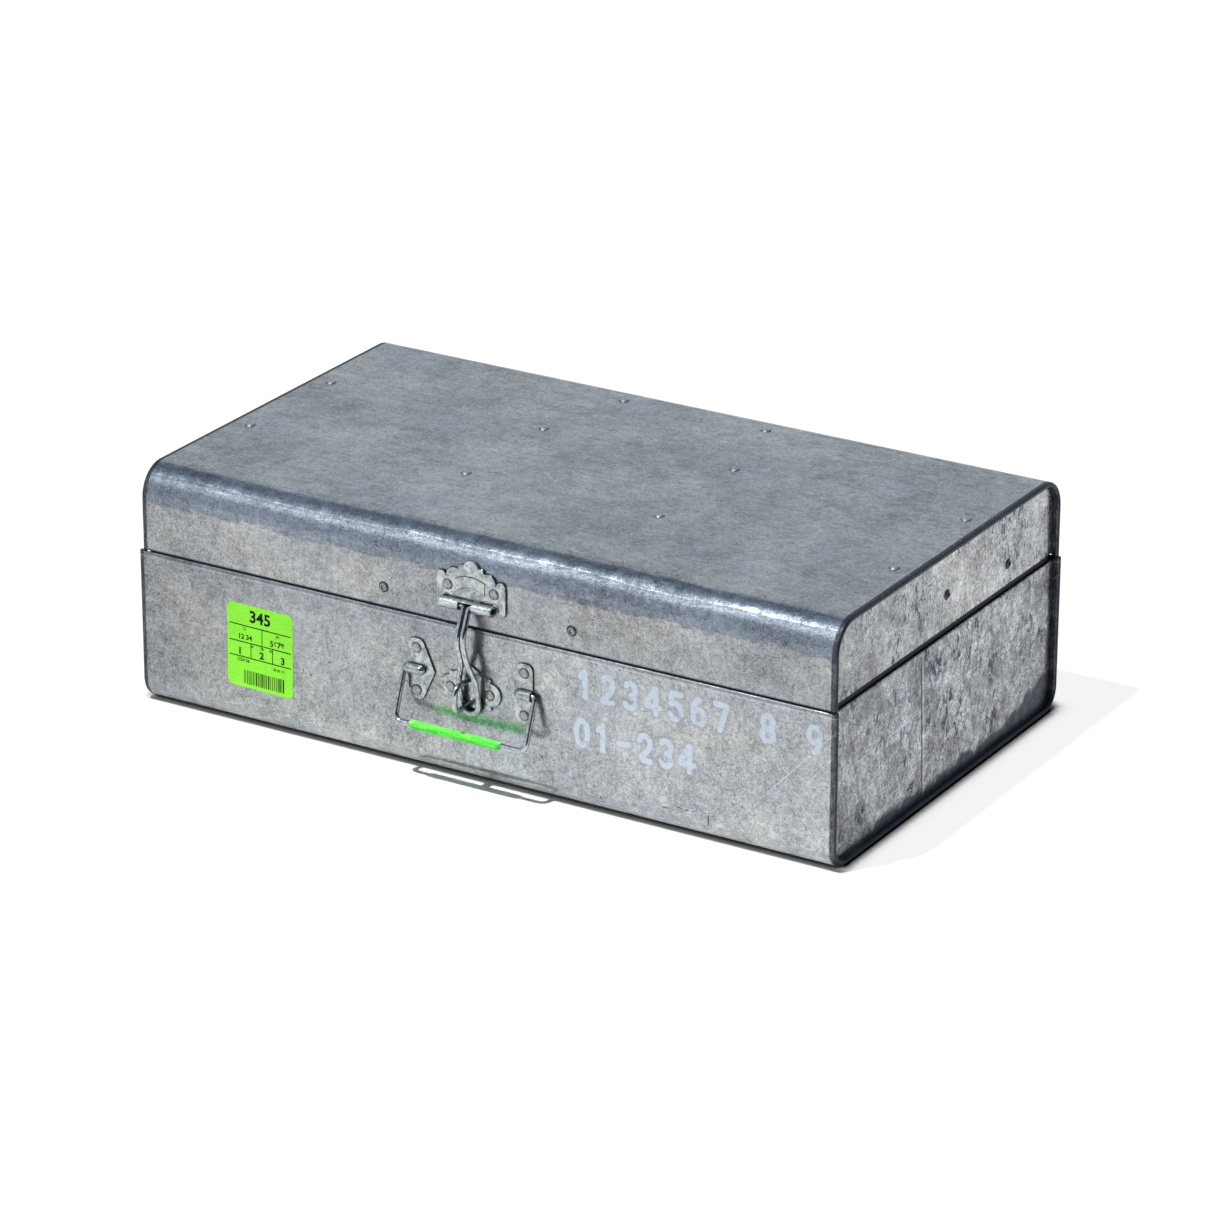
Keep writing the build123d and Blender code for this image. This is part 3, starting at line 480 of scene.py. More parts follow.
def base_end_stains(net):
    """Runs, smudges, two creases, the first with painted shade, and a painted reflection of the
    floor's shadow along the bottom of a base end.
    """
    place = net.place()
    y, z = place["y"], place["z"]
    smudges = net.top(
        net.spot(y, z, (2, 46), (11, 9)),
        net.spot(y, z, (-10, 66), (16, 10)),
        net.spot(y, z, (47, 45), (6, 16)),
        net.spot(y, z, (-33, 12), (8, 5)),
        net.spot(y, z, (-84, 18), (9, 12)),
    )
    crackle = net.noise((3, 3.2, 4.2), detail=6, rough=0.75, shift=(6, 6, 60))
    smudges = net.mul(smudges, net.ramp(crackle, 0.45, 0.54, 0.08, 0.92))
    # painted shade: the dark side of the first crease
    crease_shade = net.stroke(y, z, (-26, 76), (-21.8, 3), 0.8)
    second = net.stroke(y, z, (66, 78), (48, 40), 0.4)
    wobble = net.noise((12, 12, 12), detail=4)
    # painted reflection of the floor's shadow: a dark band along the bottom, rising towards the
    # rear
    edge_z = net.add(net.ramp(y, -122, -50, -2, 8.5), net.ramp(y, 40, 122, 0, 13))
    edge_z = net.add(edge_z, net.ramp(wobble, 0.3, 0.7, -2.4, 2.4))
    floor_shadow_reflection = net.mul(net.ramp(net.sub(z, edge_z), -2.5, 2.0, 1.0, 0.0), 0.80)
    return net.top(end_runs(net), smudges, net.mul(crease_shade, 0.9), net.mul(second, 0.5), floor_shadow_reflection)


def end_scratches(net):
    """Bright scratches and the lit side of the creases on a base end."""
    place = net.place()
    y, z = place["y"], place["z"]
    level = net.stroke(y, z, (-104, 45), (100, 54), 0.28)
    lit = net.stroke(y, z, (-24.6, 76), (-20.4, 3), 0.5)
    low = net.stroke(y, z, (44, 28), (31, 4), 0.6)
    return net.top(net.mul(level, 0.35), net.mul(lit, 0.45), net.mul(low, 0.45))


def front_marks(net):
    """Pits near the bottom of the base's front."""
    place = net.place()
    x, z = place["x"], place["z"]
    pits = net.noise((2.4, 9, 1.0), detail=3, rough=0.7)
    row = net.stroke(x, z, (100, 13.6), (131, 14.6), 2.4)
    pitted = net.mul(row, net.ramp(pits, 0.55, 0.62))
    line = net.stroke(x, z, (128.2, 14), (127.6, 8.2), 0.45)
    return net.mul(net.top(pitted, line), 0.85)


def front_scratches(net):
    """Fine slanting scratches near the right end of the base's front."""
    place = net.place()
    x, z = place["x"], place["z"]
    first = net.stroke(x, z, (160.6, 34.7), (193, 69.5), 0.42)
    second = net.stroke(x, z, (176, 38), (193, 58), 0.36)
    return net.mul(net.top(first, net.mul(second, 0.5)), 0.36)


# ------------------------------------------------------------------ other finishes
def hasp_marks(net):
    """Painted shade outlining the hasp plate's pressed arch, and a painted highlight along the top
    of its roll.
    """
    place = net.place()
    across = net.sub(place["x"], HASP_X)
    up = net.sub(place["z"], HASP_AXIS.z / MM)
    rise = net.add(up, HASP_ARCH_DROP)
    radius = net.math("SQRT", net.add(net.mul(across, across), net.mul(rise, rise)))
    inner, outer = HASP_ARCH
    # painted shade along the arch's inner and outer edges
    lines = net.top(net.band(radius, inner - 0.35, inner + 0.15, 0.25),
                    net.band(radius, outer - 0.15, outer + 0.35, 0.25))
    span = net.mul(net.band(across, -9.2, 9.2, 0.8), net.ramp(up, 5.5, 7.5))
    # painted highlight along the upper side of the roll
    roll = net.mul(net.band(up, 0.2, 2.1, 0.7), net.band(across, -15, 12, 1.5))
    return net.mul(net.mul(lines, span), 0.7), net.mul(roll, 0.55)


def fitting_material(name, shade, hasp=False):
    """Zinc-plated pressed fittings, with dull patches and painted shade at their edges."""
    net = Net(name)
    mottle = net.noise(5, detail=6, rough=0.65, warp=0.6)
    grain = net.noise(0.6, detail=2)
    colour = net.between(mottle, *FITTING, 0.34, 0.66)
    dull = net.ramp(net.noise(1.6, detail=4, shift=(4, 4, 4)), 0.55, 0.68)
    # painted shade within a small reach of other surfaces
    dark = net.top(net.mul(dull, 0.5), net.mul(net.crevice(1.4, 0.50, 0.95), shade))
    if hasp:
        # the arch's painted outline shade and the roll's painted highlight
        lines, worn = hasp_marks(net)
        dark = net.top(dark, lines)
        colour = net.mix(worn, colour, FROST_WEAR_AND_HIGHLIGHT)
    colour = net.mix(dark, colour, GRIME_AND_SHADE)
    rough = net.ramp(mottle, 0.3, 0.7, 0.26, 0.16)
    dents = net.noise(7, detail=2, shift=(2, 7, 5))
    normal = net.bump(net.add(net.mul(dents, 2.2), net.mul(grain, 0.12)), 0.35)
    return net.surface(
        Base_Color=colour, Metallic=0.97, Roughness=rough, Normal=normal, IOR=1.5
    )


def wire_material(name, reach, shade):
    """Zinc wire, darker within a reach of the trunk: painted shade."""
    net = Net(name)
    mottle = net.noise(2.2, detail=4)
    colour = net.between(mottle, *WIRE)
    # painted shade within a reach of the trunk and other parts
    colour = net.mix(net.mul(net.crevice(reach, 0.35, 0.8), shade), colour, GRIME_AND_SHADE)
    rough = net.ramp(mottle, 0.3, 0.7, 0.20, 0.11)
    normal = net.bump(net.noise(2.5, detail=2), 0.03)
    return net.surface(
        Base_Color=colour, Metallic=1.0, Roughness=rough, Normal=normal, IOR=1.5
    )


def rivet_material(name, metal, rim=(0.76, 0.93)):
    """Dull set rivets, with painted shade round their edges, and made dark by painted shade on the
    lid's ends.
    """
    net = Net(name)
    # painted shade: rivets near the ends are made dark
    end_side_shade = net.ramp(net.math("ABSOLUTE", net.place()["x"]), END_X - 9, END_X - 6)
    mottle = net.noise(1.1, detail=4)
    colour = net.between(mottle, *metal)
    # painted shade round the rim of each head and where it meets the sheet
    facing = net.top(*(net.math("ABSOLUTE", side) for side in net.facing()))
    dome_rim_shade = net.ramp(facing, *rim, 0.9, 0.0)
    edge = net.mul(net.crevice(1.3, 0.55, 0.97), 0.95)
    dark = net.top(net.mul(end_side_shade, 0.9), dome_rim_shade, edge)
    colour = net.mix(dark, colour, GRIME_AND_SHADE)
    rough = net.ramp(mottle, 0.3, 0.7, 0.42, 0.30)
    return net.surface(
        Base_Color=colour, Metallic=0.9, Roughness=rough, IOR=1.5,
        Normal=net.bump(mottle, 0.10),
    )


def lip_material():
    """Old steel of the lips inside the lid, painted near black as shade, since they sit in the dark
    gap of the joint.
    """
    net = Net("dark_lip_steel")
    mottle = net.noise(8, detail=5, rough=0.6)
    colour = net.between(mottle, *LIP_STEEL_SHADE)
    rough = net.ramp(mottle, 0.3, 0.7, 0.5, 0.65)
    return net.surface(
        Base_Color=colour, Metallic=0.6, Roughness=rough,
        Normal=net.bump(mottle, 0.2), IOR=1.5,
    )


def sleeve_material():
    """Fluorescent green plastic, with yellower stretches, paler scuffs and frayed ends.

    Its side towards the trunk is painted a darker green as shade, and glows a little, so that the
    sheet behind mirrors it in green.
    """
    net = Net("green_sleeve")
    place = net.place()
    length = net.noise((7, 2, 2), detail=4, rough=0.6)
    scuffs = net.ramp(net.noise((1.3, 0.8, 0.8), detail=3, shift=(6, 0, 0)), 0.60, 0.68)
    middle_x = (SLEEVE_LOW.x + SLEEVE_HIGH.x) / 2 / MM
    half = (SLEEVE_HIGH.x - SLEEVE_LOW.x) / 2 / MM
    from_end = net.sub(half, net.math("ABSOLUTE", net.sub(place["x"], middle_x)))
    frayed = net.mul(net.ramp(from_end, 0.5, 5.0, 1.0, 0.0), net.ramp(length, 0.40, 0.60))
    colour = net.between(length, *SLEEVE_GREEN, 0.35, 0.65)
    pale = net.top(net.mul(scuffs, 0.5), net.mul(frayed, 0.55))
    colour = net.mix(pale, colour, SLEEVE_SCUFF)
    # painted shade and a glow on the side towards the trunk
    rear_shade_and_glow = net.crevice(14, 0.45, 0.85)
    colour = net.mix(net.mul(rear_shade_and_glow, 0.35), colour, SLEEVE_REAR_SHADE)
    rough = net.ramp(length, 0.3, 0.7, 0.28, 0.5)
    return net.surface(
        Base_Color=colour, Roughness=rough, Normal=net.bump(length, 0.5), IOR=1.48,
        Emission_Color=SLEEVE_GLOW, Emission_Strength=net.mul(rear_shade_and_glow, 0.5),
    )


def label_material():
    """Fluorescent green label paper."""
    net = Net("green_label")
    fibre = net.noise(0.9, detail=3, rough=0.6)
    cloud = net.noise(14, detail=3)
    colour = net.between(fibre, *LABEL_GREEN)
    colour = net.scaled(colour, net.ramp(cloud, 0.3, 0.7, 0.95, 1.02))
    return net.surface(
        Base_Color=colour, Roughness=0.42, Normal=net.bump(fibre, 0.02), IOR=1.45
    )


def ink_material():
    """Black print on the label."""
    net = Net("label_ink")
    fibre = net.noise(0.5, detail=2)
    colour = net.between(fibre, *INK)
    return net.surface(Base_Color=colour, Roughness=0.8, IOR=1.45, Specular_IOR_Level=0.1)


def stencil_material():
    """Thin pale stencil paint: a bluish soft edge, where the zinc shows through."""
    net = Net("stencil_paint")
    cover = net.node("ShaderNodeAttribute", attribute_name="cover").outputs["Fac"]
    worn = net.noise(7, detail=6, rough=0.7, shift=(3, 8, 4))
    share = net.mul(cover, net.ramp(worn, 0.34, 0.56, 0.50, 0.98))
    grain = net.noise(1.1, detail=3, rough=0.7)
    paint = net.between(grain, *PAINT)
    edge = net.between(share, ZINC, PAINT_EDGE, 0.1, 0.45)
    edge = net.scaled(edge, sheet_tone(net))
    colour = net.between(share, edge, paint, 0.35, 0.8)
    metallic = net.ramp(share, 0.05, 0.6, 0.94, 0.0)
    return net.surface(
        Base_Color=colour, Metallic=metallic, Roughness=0.4,
        Normal=net.bump(grain, 0.03), IOR=1.45,
    )


# ------------------------------------------------------------------ mesh helpers
def mesh_object(name, verts, faces, material, body, smooth=False):
    """A piece from corners in millimetres, riding on a body."""
    mesh = bpy.data.meshes.new(name)
    mesh.from_pydata([Vector(v) * MM for v in verts], [], faces)
    mesh.update()
    for polygon in mesh.polygons:
        polygon.use_smooth = smooth
    piece = bpy.data.objects.new(name, mesh)
    bpy.context.scene.collection.objects.link(piece)
    piece.data.materials.append(material)
    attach(piece, body)
    return piece


# Digits as strokes in a cell 0..1 wide and 0..1 high: lines and arcs
# ("line", x0, z0, x1, z1) and ("arc", centre x, centre z, half width, half height, from, to)
DIGITS = {
    "0": [("arc", 0.5, 0.5, 0.38, 0.5, 100, 260), ("arc", 0.5, 0.5, 0.38, 0.5, -80, 80)],
    "1": [("line", 0.5, 0.0, 0.5, 1.0), ("line", 0.22, 0.78, 0.42, 0.95)],
    "2": [("arc", 0.5, 0.7, 0.36, 0.3, -35, 165), ("line", 0.74, 0.46, 0.2, 0.04),
          ("line", 0.34, 0.0, 0.9, 0.0)],
    "3": [("arc", 0.5, 0.74, 0.33, 0.26, -75, 150), ("arc", 0.5, 0.25, 0.37, 0.25, -150, 75)],
    "4": [("line", 0.7, 0.0, 0.7, 1.0), ("line", 0.55, 0.95, 0.12, 0.36),
          ("line", 0.12, 0.27, 0.56, 0.27), ("line", 0.84, 0.27, 0.95, 0.27)],
    "5": [("line", 0.3, 1.0, 0.84, 1.0), ("line", 0.22, 0.92, 0.2, 0.58),
          ("arc", 0.48, 0.31, 0.38, 0.31, -150, 112)],
    "6": [("arc", 0.52, 0.3, 0.36, 0.3, -70, 250), ("arc", 0.62, 0.42, 0.46, 0.58, 100, 165)],
    "7": [("line", 0.12, 1.0, 0.72, 1.0), ("line", 0.84, 0.94, 0.42, 0.0)],
    "8": [("arc", 0.5, 0.74, 0.32, 0.26, 110, 250), ("arc", 0.5, 0.74, 0.32, 0.26, -70, 70),
          ("arc", 0.5, 0.25, 0.37, 0.25, 112, 248), ("arc", 0.5, 0.25, 0.37, 0.25, -68, 68)],
    "9": [("arc", 0.48, 0.7, 0.36, 0.3, 110, 430), ("arc", 0.38, 0.58, 0.46, 0.58, -80, -15)],
    "-": [("line", 0.2, 0.45, 0.8, 0.45)],
    " ": [],
}


def line_distance(px, pz, x0, z0, x1, z1):
    """How far a point lies from a straight run."""
    length2 = (x1 - x0) ** 2 + (z1 - z0) ** 2
    share = max(0.0, min(1.0, ((px - x0) * (x1 - x0) + (pz - z0) * (z1 - z0)) / length2))
    return math.hypot(px - x0 - share * (x1 - x0), pz - z0 - share * (z1 - z0))


def stroke_runs(text, left, low, height, advance, width):
    """Each digit's strokes as short straight runs in millimetres."""
    runs = []
    for index, sign in enumerate(text):
        x_at = left + index * advance
        for kind, *numbers in DIGITS[sign]:
            if kind == "line":
                points = [numbers[:2], numbers[2:]]
            else:
                cx, cz, rx, rz, start, stop = numbers
                turns = [math.radians(start + (stop - start) * i / 12) for i in range(13)]
                points = [(cx + rx * math.cos(a), cz + rz * math.sin(a)) for a in turns]
            spots = [(x_at + u * width, low + v * height) for u, v in points]
            runs += [(*a, *b) for a, b in zip(spots, spots[1:])]
    return runs


STENCIL_STEP = 0.5  # mesh width of the paint's skin
STENCIL_SOFT = 1.2  # how wide the paint's edge fades
STENCIL_LIFT = 0.05  # the skin in front of the sheet
STENCIL_HEIGHT, STENCIL_WIDTH, STENCIL_STROKE = 12.6, 8.2, 3.3  # of a digit


def stencil_row(name, text, left, low, advance, material):
    """One row of stencil digits: a thin skin of paint with a soft edge."""
    step, soft, lift = STENCIL_STEP, STENCIL_SOFT, STENCIL_LIFT
    height, width, stroke = STENCIL_HEIGHT, STENCIL_WIDTH, STENCIL_STROKE
    runs = stroke_runs(text, left, low, height, advance, width)
    columns = int((advance * len(text) + 2 * stroke) / step)
    rows = int((height + 2 * stroke) / step)
    covers = {}
    for i in range(columns + 1):
        for j in range(rows + 1):
            px, pz = left - stroke + i * step, low - stroke + j * step
            near = [r for r in runs if abs((r[0] + r[2]) / 2 - px) < 0.7 * height]
            far = min((line_distance(px, pz, *r) for r in near), default=99)
            share = max(0.0, min(1.0, (stroke / 2 + soft / 2 - far) / soft))
            covers[i, j] = share * share * (3 - 2 * share)
    used, verts, faces, values = {}, [], [], []

    def corner(i, j):
        if (i, j) not in used:
            used[i, j] = len(verts)
            verts.append((left - stroke + i * step, FRONT_Y - lift, low - stroke + j * step))
            values.append(covers[i, j])
        return used[i, j]

    for i in range(columns):
        for j in range(rows):
            around = [(i, j), (i + 1, j), (i + 1, j + 1), (i, j + 1)]
            if max(covers[c] for c in around) > 0:
                faces.append([corner(*c) for c in around])
    piece = mesh_object(name, verts, faces, material, "base")
    attribute = piece.data.attributes.new("cover", "FLOAT", "POINT")
    attribute.data.foreach_set("value", values)
    return piece


# ------------------------------------------------------------------ label print
LABEL_TILT = math.radians(1.0)
LABEL_RULE = 0.006  # half a printed rule's thickness, in shares of the label
LABEL_MIDDLE = (LABEL_LOW + LABEL_HIGH) / 2 / MM
LABEL_WIDTH, LABEL_HEIGHT = 38.4, 43.8
LABEL_FACE_Y = LABEL_LOW.y / MM
# each number on the label: name, text, place (shares of the label), size and boldness in mm
LABEL_NUMBERS = (
    ("top", "345", 0.50, 0.135, 8.4, 0.22),
    ("a", "12 34", 0.27, 0.395, 3.6, 0.12),
    ("b", "5678", 0.76, 0.395, 4.2, 0.12),
    ("c", "1", 0.19, 0.575, 5.0, 0.16),
    ("d", "2", 0.525, 0.575, 5.0, 0.16),
    ("e", "3", 0.845, 0.575, 5.0, 0.16),
    ("f", "12", 0.26, 0.295, 2.1, 0.04),
    ("g", "34", 0.76, 0.295, 2.1, 0.04),
    ("h", "56       78      90", 0.52, 0.488, 2.0, 0.04),
    ("i", "1234 56", 0.24, 0.675, 2.3, 0.06),
    ("j", "78 90 12", 0.78, 0.70, 1.8, 0.04),
)


def on_label(u, v, lift=0.03):
    """A point of the label: u and v are shares of its width and height from its top left."""
    across, up = (u - 0.5) * LABEL_WIDTH, (0.5 - v) * LABEL_HEIGHT
    cos, sin = math.cos(LABEL_TILT), math.sin(LABEL_TILT)
    x = LABEL_MIDDLE.x + across * cos + up * sin
    z = LABEL_MIDDLE.z - across * sin + up * cos
    return x, LABEL_FACE_Y - lift, z


def label_boxes(name, boxes, material):
    """Flat printed rectangles (left, top, right, bottom), in shares of the label."""
    verts, faces = [], []
    for left, up, right, low in boxes:
        first = len(verts)
        verts += [on_label(*c) for c in ((left, up), (left, low), (right, low), (right, up))]
        faces.append([first, first + 1, first + 2, first + 3])
    return mesh_object(name, verts, faces, material, "base")


def label_number(name, text, u, v, size, bold, material):
    """Plain numbers set in the middle of (u, v)."""
    curve = bpy.data.curves.new(name, "FONT")
    curve.body = text
    curve.size = size * MM
    curve.offset = bold * MM
    curve.align_x = "CENTER"
    curve.align_y = "CENTER"
    made = bpy.data.objects.new(name + "_curve", curve)
    bpy.context.scene.collection.objects.link(made)
    bpy.context.view_layer.update()
    graph = bpy.context.evaluated_depsgraph_get()
    mesh = bpy.data.meshes.new_from_object(made.evaluated_get(graph))
    bpy.data.objects.remove(made)
    place = Vector(on_label(u, v)) * MM
    turn = Matrix.Rotation(LABEL_TILT, 4, "Y") @ Matrix.Rotation(math.radians(90), 4, "X")
    mesh.transform(Matrix.Translation(place) @ turn)
    mesh.name = name
    piece = bpy.data.objects.new(name, mesh)
    bpy.context.scene.collection.objects.link(piece)
    piece.data.materials.clear()
    piece.data.materials.append(material)
    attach(piece, "base")
    return piece


def make_label_print():
    """Rules, a row of bars that means nothing, and plain numbers."""
    ink = ink_material()
    thin = LABEL_RULE
    rules = [(0.03, v - thin, 0.97, v + thin) for v in (0.255, 0.455, 0.635)]
    rules += [(0.53 - thin, 0.255, 0.53 + thin, 0.455)]
    rules += [(u - thin, 0.455, u + thin, 0.635) for u in (0.36, 0.69)]
    label_boxes("label_rules", rules, ink)
    bars, at, draw = [], 0.25, random.Random(4)
    while at < 0.85:
        wide = draw.choice((0.008, 0.012, 0.02))
        bars.append((at, 0.79, at + wide, 0.955))
        at += wide + draw.choice((0.008, 0.012, 0.018))
    label_boxes("label_bars", bars, ink)
    for place, text, u, v, size, bold in LABEL_NUMBERS:
        label_number("label_number_" + place, text, u, v, size, bold, ink)


# ------------------------------------------------------------------ sleeve
SLEEVE_AROUND, SLEEVE_ALONG = 32, 90  # the tube's mesh steps
SLEEVE_RAGGED = 1.6  # the deepest tear of a cut end
SLEEVE_BORE = 1.5  # its inner radius, where it clasps the wire


def make_sleeve(material):
    """Plastic tube on the grip: slightly uneven, its cut ends pinched and ragged."""
    middle_y = (SLEEVE_LOW.y + SLEEVE_HIGH.y) / 2 / MM
    middle_z = (SLEEVE_LOW.z + SLEEVE_HIGH.z) / 2 / MM
    radius = (SLEEVE_HIGH.z - SLEEVE_LOW.z) / 2 / MM
    left, right = SLEEVE_LOW.x / MM, SLEEVE_HIGH.x / MM
    around, along = SLEEVE_AROUND, SLEEVE_ALONG
    draw = random.Random(11)
    ragged = [[draw.uniform(0.0, SLEEVE_RAGGED) for _ in range(around)] for _ in range(2)]
    verts, faces = [], []
    for ring in range(along + 1):
        share = ring / along
        for step in range(around):
            turn = 2 * math.pi * step / around
            teeth_left = ragged[0][step] * max(0.0, 1 - share * 25)
            teeth_right = ragged[1][step] * max(0.0, 1 - (1 - share) * 25)
            x = left + share * (right - left) + teeth_left - teeth_right
            pinch = 0.30 * (math.exp(-share * 30) + math.exp(-(1 - share) * 30))
            wave = 0.05 * math.sin(9.3 * share + 2 * turn) + 0.04 * math.sin(31 * share + turn)
            reach = radius - 0.1 - pinch + wave
            verts.append((x, middle_y + reach * math.cos(turn), middle_z + reach * math.sin(turn)))
    for ring in range(along):
        for step in range(around):
            a, b = ring * around + step, ring * around + (step + 1) % around
            faces.append([a, b, b + around, a + around])
    first = len(verts)
    for end, x in ((0, left + 0.8), (along, right - 0.8)):
        for step in range(around):
            turn = 2 * math.pi * step / around
            y, z = SLEEVE_BORE * math.cos(turn), SLEEVE_BORE * math.sin(turn)
            verts.append((x, middle_y + y, middle_z + z))
    for step in range(around):
        following = (step + 1) % around
        faces.append([following, step, first + step, first + following])
        a, b = along * around + step, along * around + following
        faces.append([a, b, first + around + following, first + around + step])
    piece = mesh_object("sleeve_tube", verts, faces, material, "handle", True)
    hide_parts("handle_sleeve")


# ------------------------------------------------------------------ studio
CAMERA_PLACE = (1.2698, -2.1069, 1.0673)
CAMERA_YAW, CAMERA_PITCH, CAMERA_ROLL = 30.963, 22.469, 0.183
CAMERA_LENS = 159.83


def make_camera():
    """The photograph's viewpoint, in the part's frame."""
    yaw, pitch, roll = (math.radians(a) for a in (CAMERA_YAW, CAMERA_PITCH, CAMERA_ROLL))
    ahead = Vector((
        -math.sin(yaw) * math.cos(pitch), math.cos(yaw) * math.cos(pitch), -math.sin(pitch)
    ))
    level = Vector((math.cos(yaw), math.sin(yaw), 0))
    upright = level.cross(ahead)
    right = math.cos(roll) * level + math.sin(roll) * upright
    up = -math.sin(roll) * level + math.cos(roll) * upright
    data = bpy.data.cameras.new("camera")
    data.sensor_width = 36.0
    data.lens = CAMERA_LENS
    camera = bpy.data.objects.new("camera", data)
    bpy.context.scene.collection.objects.link(camera)
    camera.matrix_world = Matrix.Translation(CAMERA_PLACE) @ Matrix(
        (right, up, -ahead)
    ).transposed().to_4x4()
    bpy.context.scene.camera = camera


def make_lamp(name, direction, distance, size, power, gloss=1.0, matt=1.0):
    """A round soft lamp that looks at the trunk from a direction."""
    data = bpy.data.lights.new(name, "AREA")
    data.shape = "DISK"
    data.size = size
    data.energy = power
    data.specular_factor = gloss
    data.diffuse_factor = matt
    lamp = bpy.data.objects.new(name, data)
    bpy.context.scene.collection.objects.link(lamp)
    toward = Vector(direction).normalized()
    lamp.location = toward * distance
    lamp.rotation_mode = "QUATERNION"
    lamp.rotation_quaternion = toward.to_track_quat("Z", "Y")


WORLD_FRONT = [(0.0, (0.82, 0.86, 0.92)), (0.30, (0.80, 0.85, 0.92)), (0.55, (0.74, 0.80, 0.88)),
               (0.75, (0.64, 0.71, 0.81)), (1.0, (0.50, 0.57, 0.68))]
WORLD_BACK = [(0.0, (0.62, 0.67, 0.72)), (0.38, (0.58, 0.64, 0.69)), (0.70, (0.46, 0.52, 0.59)),
              (1.0, (0.50, 0.57, 0.68))]
DARK_SIDE = (0.84, -0.52, 0.15)
ROOM_ON_MATT = 0.04  # the room's strength for diffuse light


def make_world():
    """A pale room, dark beyond its front right corner, dimmer for diffuse light."""
    net = Net("studio", "World")
    direction = net.node("ShaderNodeTexCoord").outputs["Generated"]
    split = net.node("ShaderNodeSeparateXYZ")
    net.feed(split.inputs[0], direction)
    skies = []
    for stops in (WORLD_FRONT, WORLD_BACK):
        ramp = net.node("ShaderNodeValToRGB")
        net.feed(ramp.inputs[0], split.outputs["Z"])
        for element, (position, colour) in zip(ramp.color_ramp.elements, (stops[0], stops[-1])):
            element.position, element.color = position, (*colour, 1)
        for position, colour in stops[1:-1]:
            ramp.color_ramp.elements.new(position).color = (*colour, 1)
        skies.append(ramp.outputs[0])
    sky = net.mix(net.ramp(split.outputs["Y"], -0.2, 0.2), *skies)
    toward = net.node("ShaderNodeVectorMath", operation="DOT_PRODUCT")
    net.feed(toward.inputs[0], direction)
    toward.inputs[1].default_value = Vector(DARK_SIDE).normalized()
    sky = net.scaled(sky, net.ramp(toward.outputs["Value"], 0.55, 0.80, 1.0, 0.05))
    background = net.node("ShaderNodeBackground")
    net.feed(background.inputs[0], sky)
    diffuse_ray = net.node("ShaderNodeLightPath").outputs["Is Diffuse Ray"]
    net.feed(background.inputs["Strength"], net.ramp(diffuse_ray, 0.0, 1.0, 1.0, ROOM_ON_MATT))
    net.tree.links.new(background.outputs[0], net.output.inputs["Surface"])
    bpy.context.scene.world = net.owner


FLOOR_HALF = 30.0  # metres
FLOOR_AWAY = (300, 520)  # where it turns to plain white, from the trunk's middle
FLOOR_BESIDE_GLOW = 0.90


def floor_material():
    """White floor with a painted contact shadow where it meets the trunk; the trunk's own shadow is
    faint but in front.
    """
    net = Net("floor_white")
    light_path = net.node("ShaderNodeLightPath")
    seen = net.top(
        light_path.outputs["Is Camera Ray"],
        light_path.outputs["Is Glossy Ray"],
        light_path.outputs["Is Transmission Ray"],
    )
    place = net.place()
    x, y = place["x"], place["y"]
    away = net.ramp(net.math("SQRT", net.add(net.mul(x, x), net.mul(y, y))), *FLOOR_AWAY)
    behind = net.ramp(y, FRONT_Y, FRONT_Y + 12)
    beside = net.top(behind, away)
    # painted contact shadow: within a small reach of the trunk, and a wider one behind and beside
    # it
    contact_shadow = net.top(net.crevice(5, 0.10, 0.72), net.mul(behind, net.crevice(12, 0.68, 0.93)))
    pale = net.mix(beside, FLOOR_FRONT, FLOOR_BESIDE)
    diffuse = net.node("ShaderNodeBsdfDiffuse")
    net.feed(diffuse.inputs["Color"], net.mix(contact_shadow, pale, FLOOR_CONTACT_SHADOW))
    glow = net.node("ShaderNodeEmission")
    glow.inputs["Color"].default_value = (1, 1, 1, 1)
    strength = net.top(net.ramp(beside, 0, 1, 0.0, FLOOR_BESIDE_GLOW), away)
    strength = net.mul(strength, net.sub(1.0, contact_shadow))
    net.feed(glow.inputs["Strength"], net.mul(seen, strength))
    both = net.node("ShaderNodeAddShader")
    net.tree.links.new(diffuse.outputs[0], both.inputs[0])
    net.tree.links.new(glow.outputs[0], both.inputs[1])
    net.tree.links.new(both.outputs[0], net.output.inputs["Surface"])
    return net.owner


def make_floor():
    """A wide level floor."""
    half = FLOOR_HALF
    mesh = bpy.data.meshes.new("floor")
    corners = [(-half, -half, 0), (half, -half, 0), (half, half, 0), (-half, half, 0)]
    mesh.from_pydata(corners, [], [[0, 1, 2, 3]])
    floor = bpy.data.objects.new("floor", mesh)
    bpy.context.scene.collection.objects.link(floor)
    floor.data.materials.append(floor_material())


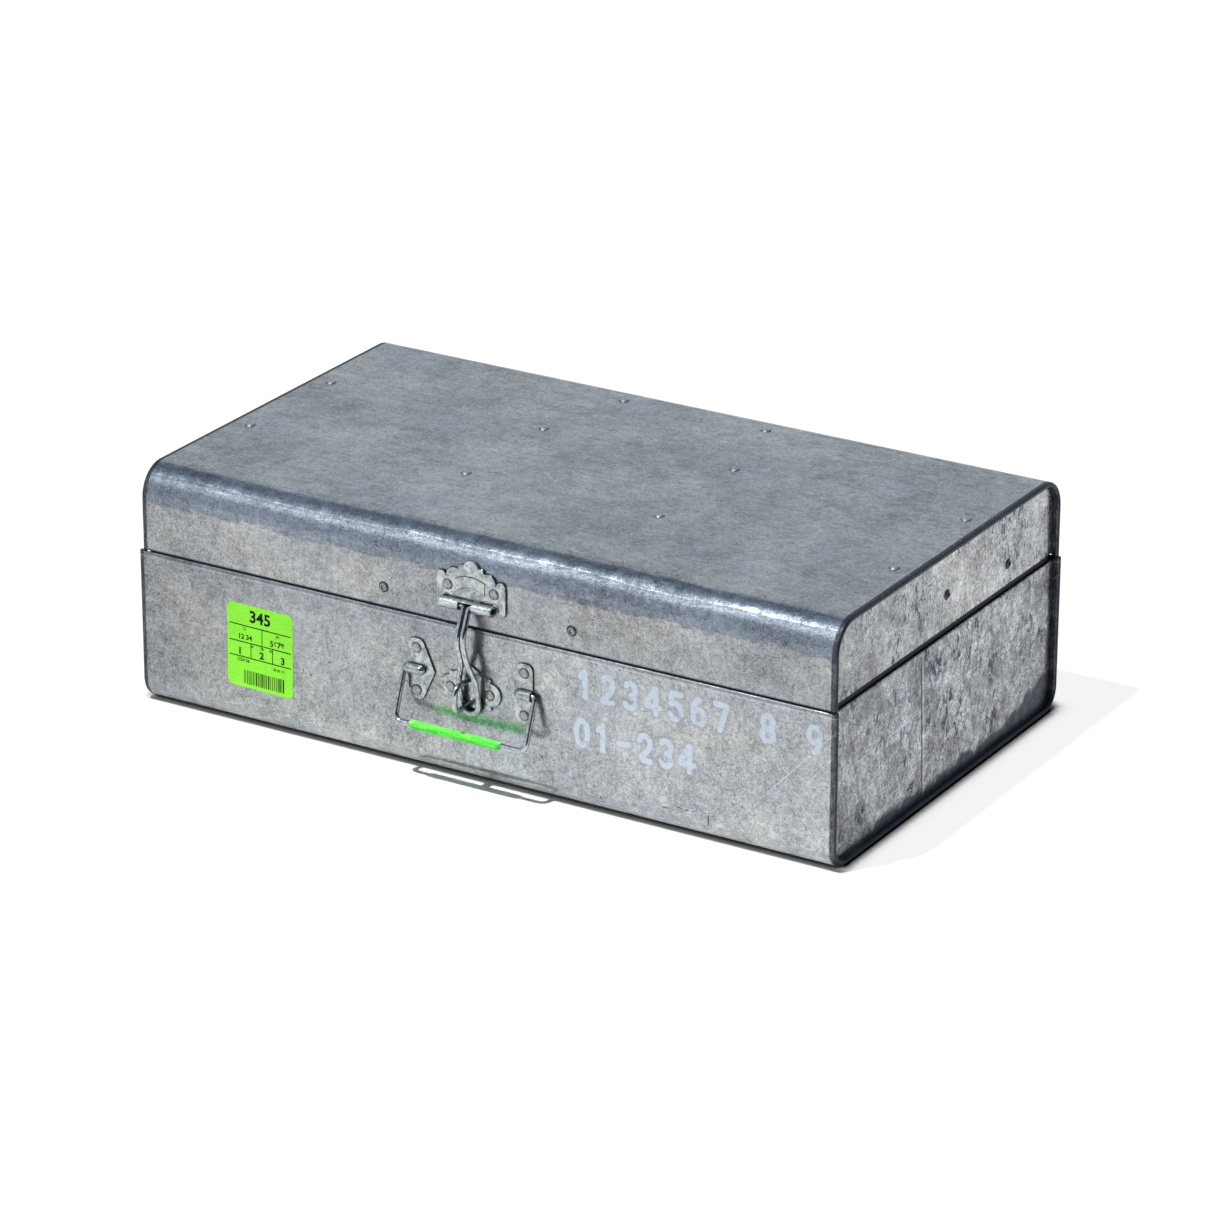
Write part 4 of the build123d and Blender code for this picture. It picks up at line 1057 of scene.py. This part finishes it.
# ------------------------------------------------------------------ dress the frame
def dress(nodes, material):
    """Give CAD nodes their finish."""
    for name in nodes:
        slots = NODES[name].data.materials
        slots.clear()
        slots.append(material)


make_camera()
dress(["base_shell"], sheet_material("sheet_base", lid=False, end=False))
dress(["lid_shell", "lid_strap_front", "lid_strap_rear", "lid_strap_back"],
      sheet_material("sheet_lid", lid=True, end=False))
dress(["base_end_left", "base_end_right"], sheet_material("sheet_base_end", lid=False, end=True))
dress(["lid_end_left", "lid_end_right"], sheet_material("sheet_lid_end", lid=True, end=True))
dress(["lid_lip_front", "lid_lip_left", "lid_lip_right"], lip_material())
PLATES = [n for n in NODES if n.startswith(("hinge_leaf", "handle_bracket")) and "rivets" not in n]
PLAIN_RIVETS = [n for n in NODES if "rivets" in n and not n.startswith("lid_")]
dress(PLATES, fitting_material("plated_fittings", 0.75))
dress(["hasp_plate"], fitting_material("plated_hasp", 0.75, hasp=True))
dress(["keeper_plate"], fitting_material("plated_keeper", 0.35))
dress(["hasp_link", "handle_bail"], wire_material("plated_wire", 9, 0.75))
dress(["keeper_staple", "hinge_pin_left", "hinge_pin_right"],
      wire_material("staple_wire", 2.0, 0.35))
dress(PLAIN_RIVETS, rivet_material("rivet_metal", RIVET))
dress(["lid_strap_rivets"], rivet_material("strap_rivet_metal", STRAP_RIVET))
dress(["lid_lip_rivets"], rivet_material("tubular_rivets", TUBULAR_RIVET, rim=(0.84, 0.97)))
dress(["address_label"], label_material())
SLEEVE = sleeve_material()
dress(["handle_sleeve"], SLEEVE)
make_sleeve(SLEEVE)
STENCIL = stencil_material()
stencil_row("stencil_upper", "1234567 8 9", left=56.4, low=59.0, advance=12.3, material=STENCIL)
stencil_row("stencil_lower", "01-234", left=54.8, low=34.0, advance=11.4, material=STENCIL)
make_label_print()

make_world()
make_lamp("key_lamp", (-0.473, -0.558, 0.681), distance=2.6, size=1.0, power=2.5, matt=0.0)
make_lamp("top_lamp", (-0.16, -0.34, 1.0), distance=3.4, size=0.08, power=150, gloss=0.0)
make_floor()
bpy.context.scene.view_settings.view_transform = "Standard"
